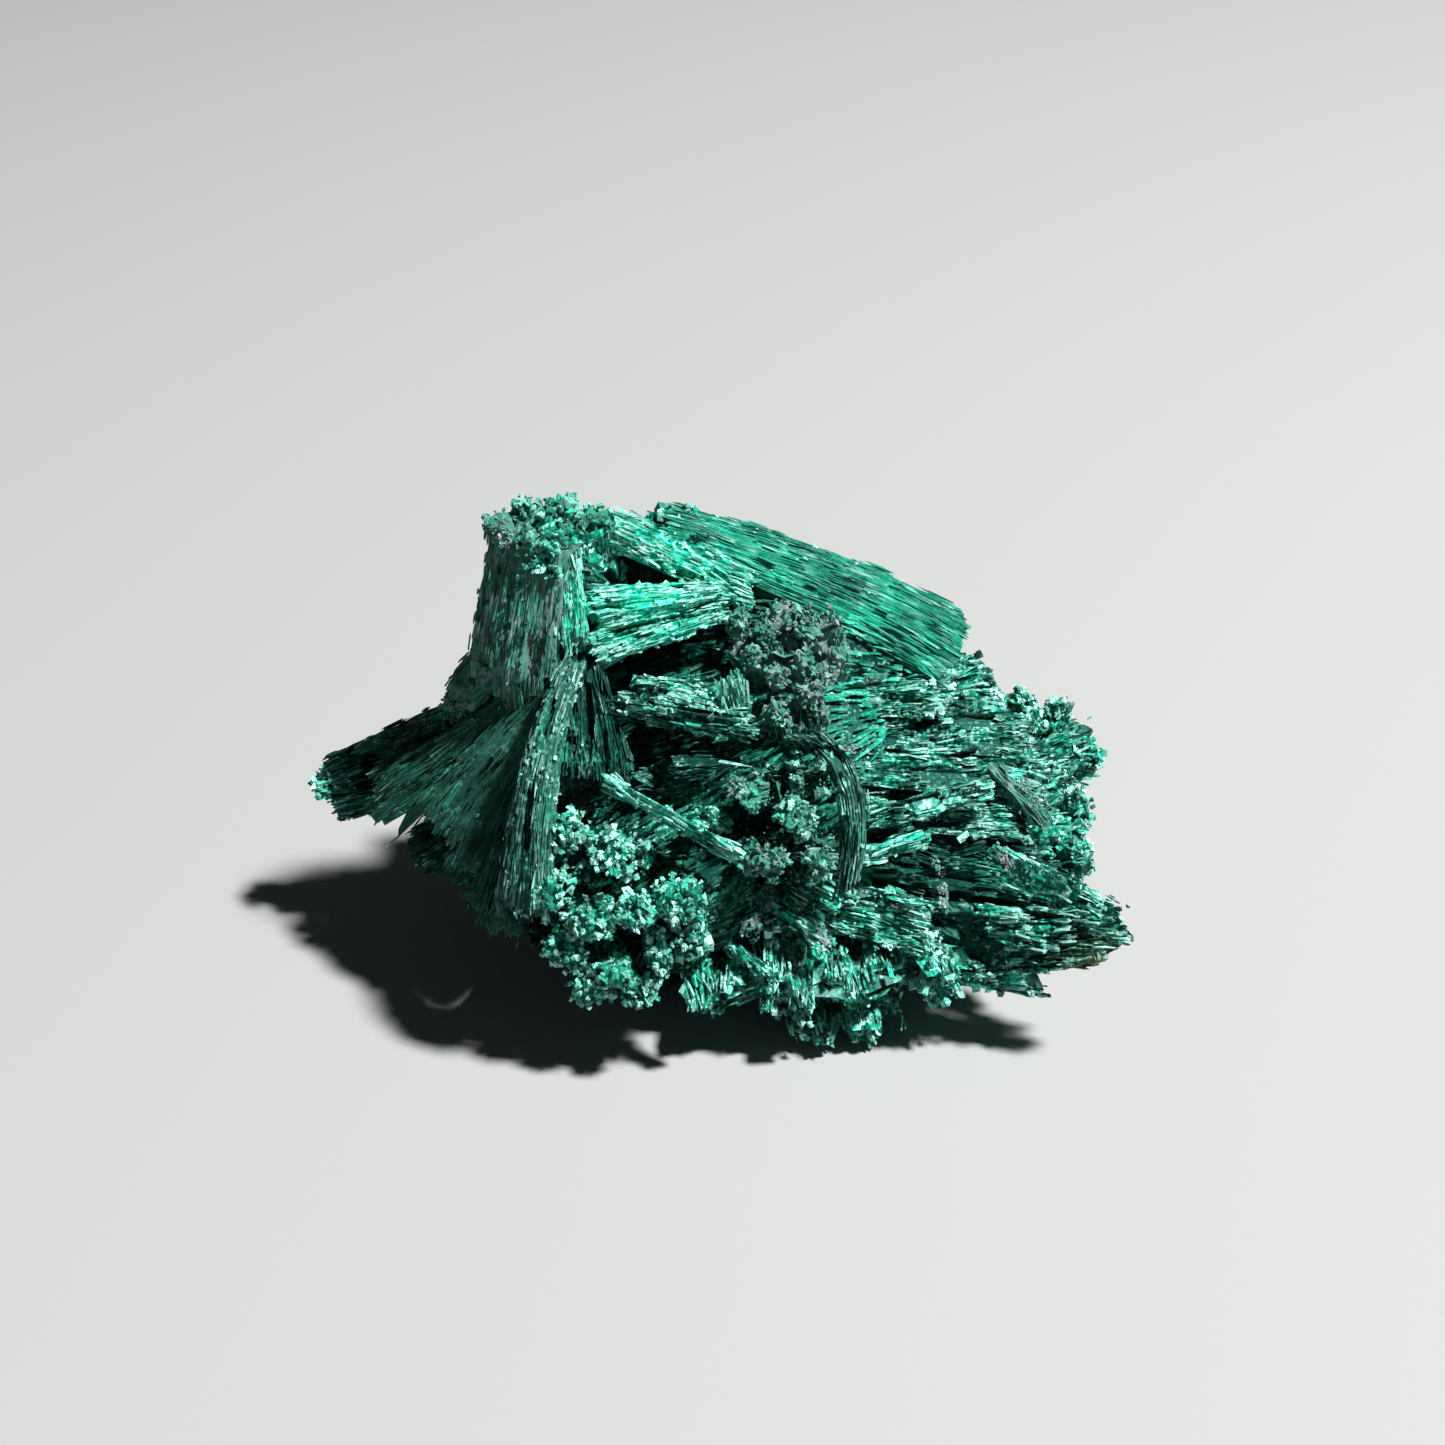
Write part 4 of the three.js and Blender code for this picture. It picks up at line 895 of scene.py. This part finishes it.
def joined(operation, reflected=False):
    """A method of Value that adds one Math node, with the other value first where reflected."""
    def method(self, other):
        first, second = (other, self) if reflected else (self, other)
        return self.maker.node("ShaderNodeMath", dict(operation=operation), {0: first, 1: second})
    return method


class Value:
    """A shader socket that sums can be written with."""
    __add__ = __radd__ = joined("ADD")
    __mul__ = __rmul__ = joined("MULTIPLY")
    __sub__ = joined("SUBTRACT")
    __rsub__ = joined("SUBTRACT", reflected=True)
    __pow__ = joined("POWER")

    def __init__(self, maker, socket):
        self.maker, self.socket = maker, socket

    def clamped(self):
        """The value, kept from 0 to 1."""
        return self.maker.node("ShaderNodeMath", dict(operation="ADD", use_clamp=True), {0: self, 1: 0.0})


class NodeMaker:
    """Adds nodes to one material."""

    def __init__(self, material):
        material.use_nodes = True
        self.tree = material.node_tree
        self.tree.nodes.clear()

    def node(self, kind, settings=None, inputs=None, output=0):
        """One node with its settings, and its inputs linked or set. Gives one of its outputs."""
        made = self.tree.nodes.new(kind)
        for key, setting in (settings or {}).items():
            setattr(made, key, setting)
        for key, value in (inputs or {}).items():
            if isinstance(value, Value):
                self.tree.links.new(value.socket, made.inputs[key])
            else:
                made.inputs[key].default_value = value
        return Value(self, made.outputs[output]) if made.outputs else None

    def blend(self, factor, first, second):
        """Colour first where factor is 0 and second where it is 1."""
        colours = {key: colour if isinstance(colour, Value) else (*colour, 1)
                   for key, colour in ((6, first), (7, second))}
        return self.node("ShaderNodeMix", dict(data_type="RGBA"), {0: factor, **colours}, output=2)

    def noise(self, vector, scale, detail, rough):
        """Noise from 0 to 1, mostly near 0.5."""
        return self.node("ShaderNodeTexNoise", {}, {"Vector": vector, "Scale": scale, "Detail": detail,
                                                    "Roughness": rough})

    def finish(self, **inputs):
        """Ends the material with a Principled shader that has the given inputs."""
        names = {key.replace("_", " "): value for key, value in inputs.items()}
        surface = self.node("ShaderNodeBsdfPrincipled", {}, names)
        self.node("ShaderNodeOutputMaterial", {}, {"Surface": surface})


def stone_material(name, colours):
    """Malachite: needles from dark to bright green, their darkest tones the painted shade of hollows,
    with pale broken ends and pale specks painted as glints, fine streaks along each needle, grains of
    their own tone, patches over the whole piece, a weathered grey-green or lilac crust, and a brown
    stain at the right tip."""
    material = bpy.data.materials.new(name)
    maker = NodeMaker(material)
    shade, tip, grey, grit = (maker.node("ShaderNodeAttribute", dict(attribute_name=key), output=2)
                              for key in TONES)
    place = maker.node("ShaderNodeTexCoord", output=3)
    fibre = maker.node("ShaderNodeUVMap", dict(uv_map="Fibre"))
    stretched = maker.node("ShaderNodeMapping", {}, {"Vector": fibre, "Scale": (26.0, 1.1, 1.0)})
    streak = maker.noise(stretched, 1.0, 2.0, 0.5)
    patch = maker.noise(place, PATCHES, 3.0, 0.6)
    grain = maker.noise(place, GRAINS, 2.0, 0.6)
    cell = maker.node("ShaderNodeTexVoronoi", {}, {"Vector": place, "Scale": CELLS}, output=1)
    frost = ((maker.noise(place, FROST, 3.0, 0.6) - 0.42) * 5.0).clamped()
    facet = (cell - 0.5) * grit

    level = (shade * 0.95 + streak * 0.9 + patch * 1.5 + facet * 1.0 - 1.31).clamped()
    green = maker.blend((level * 2.0).clamped(), colours.hollow, colours.needle)
    green = maker.blend((level * 2.0 - 1.0).clamped(), green, colours.bright)
    # painted highlight: pale specks standing for glints, more where the stone is lighter, added to the pale
    # broken ends
    painted_glints = (facet + frost * 0.14 - 0.2) * (level + 0.15) * (0.6 + frost * 3.4)
    ends = ((tip ** 1.5) * (0.3 + grain * 0.7 + frost * 0.5) + painted_glints.clamped()).clamped()
    green = maker.blend(ends, green, colours.broken)
    crust = (grey * 1.25 + patch * 1.1 - 0.72).clamped()
    dull = maker.blend((streak * 1.3 + grain * 0.5 - 0.45).clamped(), colours.weathered, colours.needle)
    green = maker.blend((crust * 0.8).clamped(), green, dull)
    lilac = ((grey - 0.82) * 6.0).clamped() * (frost * 1.2 + grain * 2.2 - 1.1).clamped()
    green = maker.blend(lilac, green, colours.lilac)
    away = maker.node("ShaderNodeVectorMath", dict(operation="DISTANCE"), {0: place, 1: STAIN}, output=1)
    stain = ((STAIN_REACH - away) * 450.0 * (grain * 1.6 - 0.3)).clamped()
    green = maker.blend(stain * 0.7, green, colours.stain)

    relief = streak * 0.7 + grain * 0.4 + facet * 1.2
    normal = maker.node("ShaderNodeBump", {}, {"Height": relief, "Strength": 0.85, "Distance": 0.00013})
    maker.finish(Base_Color=green, Roughness=(0.4 + crust * 0.25 + grain * 0.2).clamped(), Normal=normal,
                 IOR=1.5, Specular_IOR_Level=0.35, Specular_Tint=(0.3, 1.0, 0.85, 1.0))
    return material


def shared_material():
    """The stone material, made once."""
    name = "malachite_stone"
    return bpy.data.materials.get(name) or stone_material(name, bpy.context.scene.stone_colours)


def floor_material(pale):
    """Matt paint with faint patches."""
    material = bpy.data.materials.new("floor_paint")
    maker = NodeMaker(material)
    mottle = maker.noise(maker.node("ShaderNodeTexCoord", output=3), 4.0, 2.0, 0.5)
    paint = maker.blend((mottle * 0.5).clamped(), pale, tuple(0.93 * part for part in pale))
    maker.finish(Base_Color=paint, Roughness=0.75)
    return material


# Operators

class AddCore(bpy.types.Operator):
    """Add the massive stone inside the cluster and the short needles on it"""
    bl_idname = "malachite.add_core"
    bl_label = "Add core"

    def execute(self, context):
        sizes = context.scene.fibre_sizes
        rng = np.random.default_rng(CORE_SEED)
        # The hearts are dark, as painted shade, since they show only between the sheets
        shells = [ball_shell(centre, np.array(radii) - sizes.core_inset / MM, 40, 24, 0.03, rng)
                  for centre, radii in HEARTS]
        shells += [ball_shell(lump[:3], 0.66 * lump_radii(lump), 16, 10, 0.3, rng, 0.35, 0.9 * lump[4])
                   for lump in LUMPS]
        make_piece("core_stone", join(shells))
        make_piece("core_needles", heart_needles(rng, sizes.needle_width))
        return {"FINISHED"}


class AddFibres(bpy.types.Operator):
    """Add the bundles of needles, one piece for each part of the cluster"""
    bl_idname = "malachite.add_fibres"
    bl_label = "Add needle bundles"

    def execute(self, context):
        sizes = context.scene.fibre_sizes
        for number, (name, sheets) in enumerate(PIECES.items()):
            rng = np.random.default_rng(FIBRE_SEED + number)
            shells = [sheet_shell(one, rng, sizes.stone_inset / MM, sizes.needle_width) for one in sheets]
            make_piece(name, join(shells))
        return {"FINISHED"}


class AddCrumbs(bpy.types.Operator):
    """Add the crumbs on the broken ends and over the bundles"""
    bl_idname = "malachite.add_crumbs"
    bl_label = "Add crumbs"

    def execute(self, context):
        size = context.scene.fibre_sizes.chip_size
        rng = np.random.default_rng(CRUMB_SEED)
        make_piece("lump_crumbs", join([lump_clumps(lump, rng, size) for lump in LUMPS]))
        make_piece("strewn_crumbs", join([sheet_clumps(one, rng, size) for one in ALL_SHEETS]))
        return {"FINISHED"}


class AddMarks(bpy.types.Operator):
    """Add the grey flakes and the near-black chips painted as the shade of pits, which are placed by rays
    onto the pieces that are there
    """
    bl_idname = "malachite.add_marks"
    bl_label = "Add flakes and pits"

    def execute(self, context):
        rng = np.random.default_rng(MARK_SEED)
        context.view_layer.update()
        make_piece("marks", join([mark_shell(context, mark, rng) for mark in MARKS]))
        return {"FINISHED"}


class SetStage(bpy.types.Operator):
    """Add the floor, the lights and the camera"""
    bl_idname = "malachite.set_stage"
    bl_label = "Set the stage"

    def execute(self, context):
        stage = context.scene.stage_settings
        mesh = bpy.data.meshes.new("floor")
        corners = [(-3, -3, 0), (3, -3, 0), (3, 3, 0), (-3, 3, 0)]
        mesh.from_pydata(corners, [], [(0, 1, 2, 3)])
        mesh.materials.append(floor_material(tuple(stage.floor_colour)))
        floor = add_object("floor", mesh)

        add_light("key", (0.485, -0.124, 0.867), 1.2, 0.11, stage.key_power, (1, 0.99, 0.97))
        add_light("fill", (-0.75, -0.5, 0.55), 0.9, 0.7, stage.fill_power, (0.9, 0.96, 1))
        world = bpy.data.worlds.new("studio")
        world.use_nodes = True
        sky = world.node_tree.nodes["Background"].inputs
        sky["Color"].default_value = (0.8, 0.88, 0.95, 1)
        sky["Strength"].default_value = 0.035
        context.scene.world = world
        context.scene.view_settings.view_transform = "Standard"

        lens = bpy.data.cameras.new("camera")
        lens.sensor_width = 36.0
        lens.lens = lens.sensor_width * FOCAL
        lens.clip_start = 0.005
        camera = add_object("camera", lens)
        camera.location = (EYE + SHIFT) * MM
        camera.rotation_euler = (math.radians(90 - PITCH), 0, 0)
        context.scene.camera = camera
        return {"FINISHED"}


def add_light(name, direction, distance, size, power, tint):
    """A square light that looks at the middle of the cluster from a direction."""
    data = bpy.data.lights.new(name, "AREA")
    data.shape = "SQUARE"
    data.size = size
    data.energy = power
    data.color = tint
    light = add_object(name, data)
    light.location = Vector((0, 0, 0.016)) + Vector(direction).normalized() * distance
    light.rotation_euler = (-Vector(direction)).to_track_quat("-Z", "Y").to_euler()


class MalachitePanel(bpy.types.Panel):
    """Sizes, colours and buttons in the sidebar"""
    bl_idname = "VIEW3D_PT_malachite"
    bl_label = "Malachite cluster"
    bl_space_type = "VIEW_3D"
    bl_region_type = "UI"
    bl_category = "Malachite"

    def draw(self, context):
        layout = self.layout
        for name, group in SETTINGS.items():
            box = layout.box()
            for key in group.__annotations__:
                box.prop(getattr(context.scene, name), key)
        for operator in OPERATORS:
            layout.operator(operator.bl_idname)


OPERATORS = (AddCore, AddFibres, AddCrumbs, AddMarks, SetStage)
SETTINGS = {"fibre_sizes": FibreSizes, "stone_colours": StoneColours, "stage_settings": StageSettings}
CLASSES = (*SETTINGS.values(), *OPERATORS, MalachitePanel)


def register():
    """Adds the operators, the settings and the panel to Blender."""
    for cls in CLASSES:
        bpy.utils.register_class(cls)
    for name, cls in SETTINGS.items():
        setattr(bpy.types.Scene, name, PointerProperty(type=cls))


def unregister():
    """Takes them out again."""
    for name in SETTINGS:
        delattr(bpy.types.Scene, name)
    for cls in reversed(CLASSES):
        bpy.utils.unregister_class(cls)


def main():
    """Builds the cluster and its stage."""
    register()
    bpy.ops.malachite.add_core()
    bpy.ops.malachite.add_fibres()
    bpy.ops.malachite.add_crumbs()
    bpy.ops.malachite.add_marks()
    bpy.ops.malachite.set_stage()


if __name__ == "__main__":
    main()
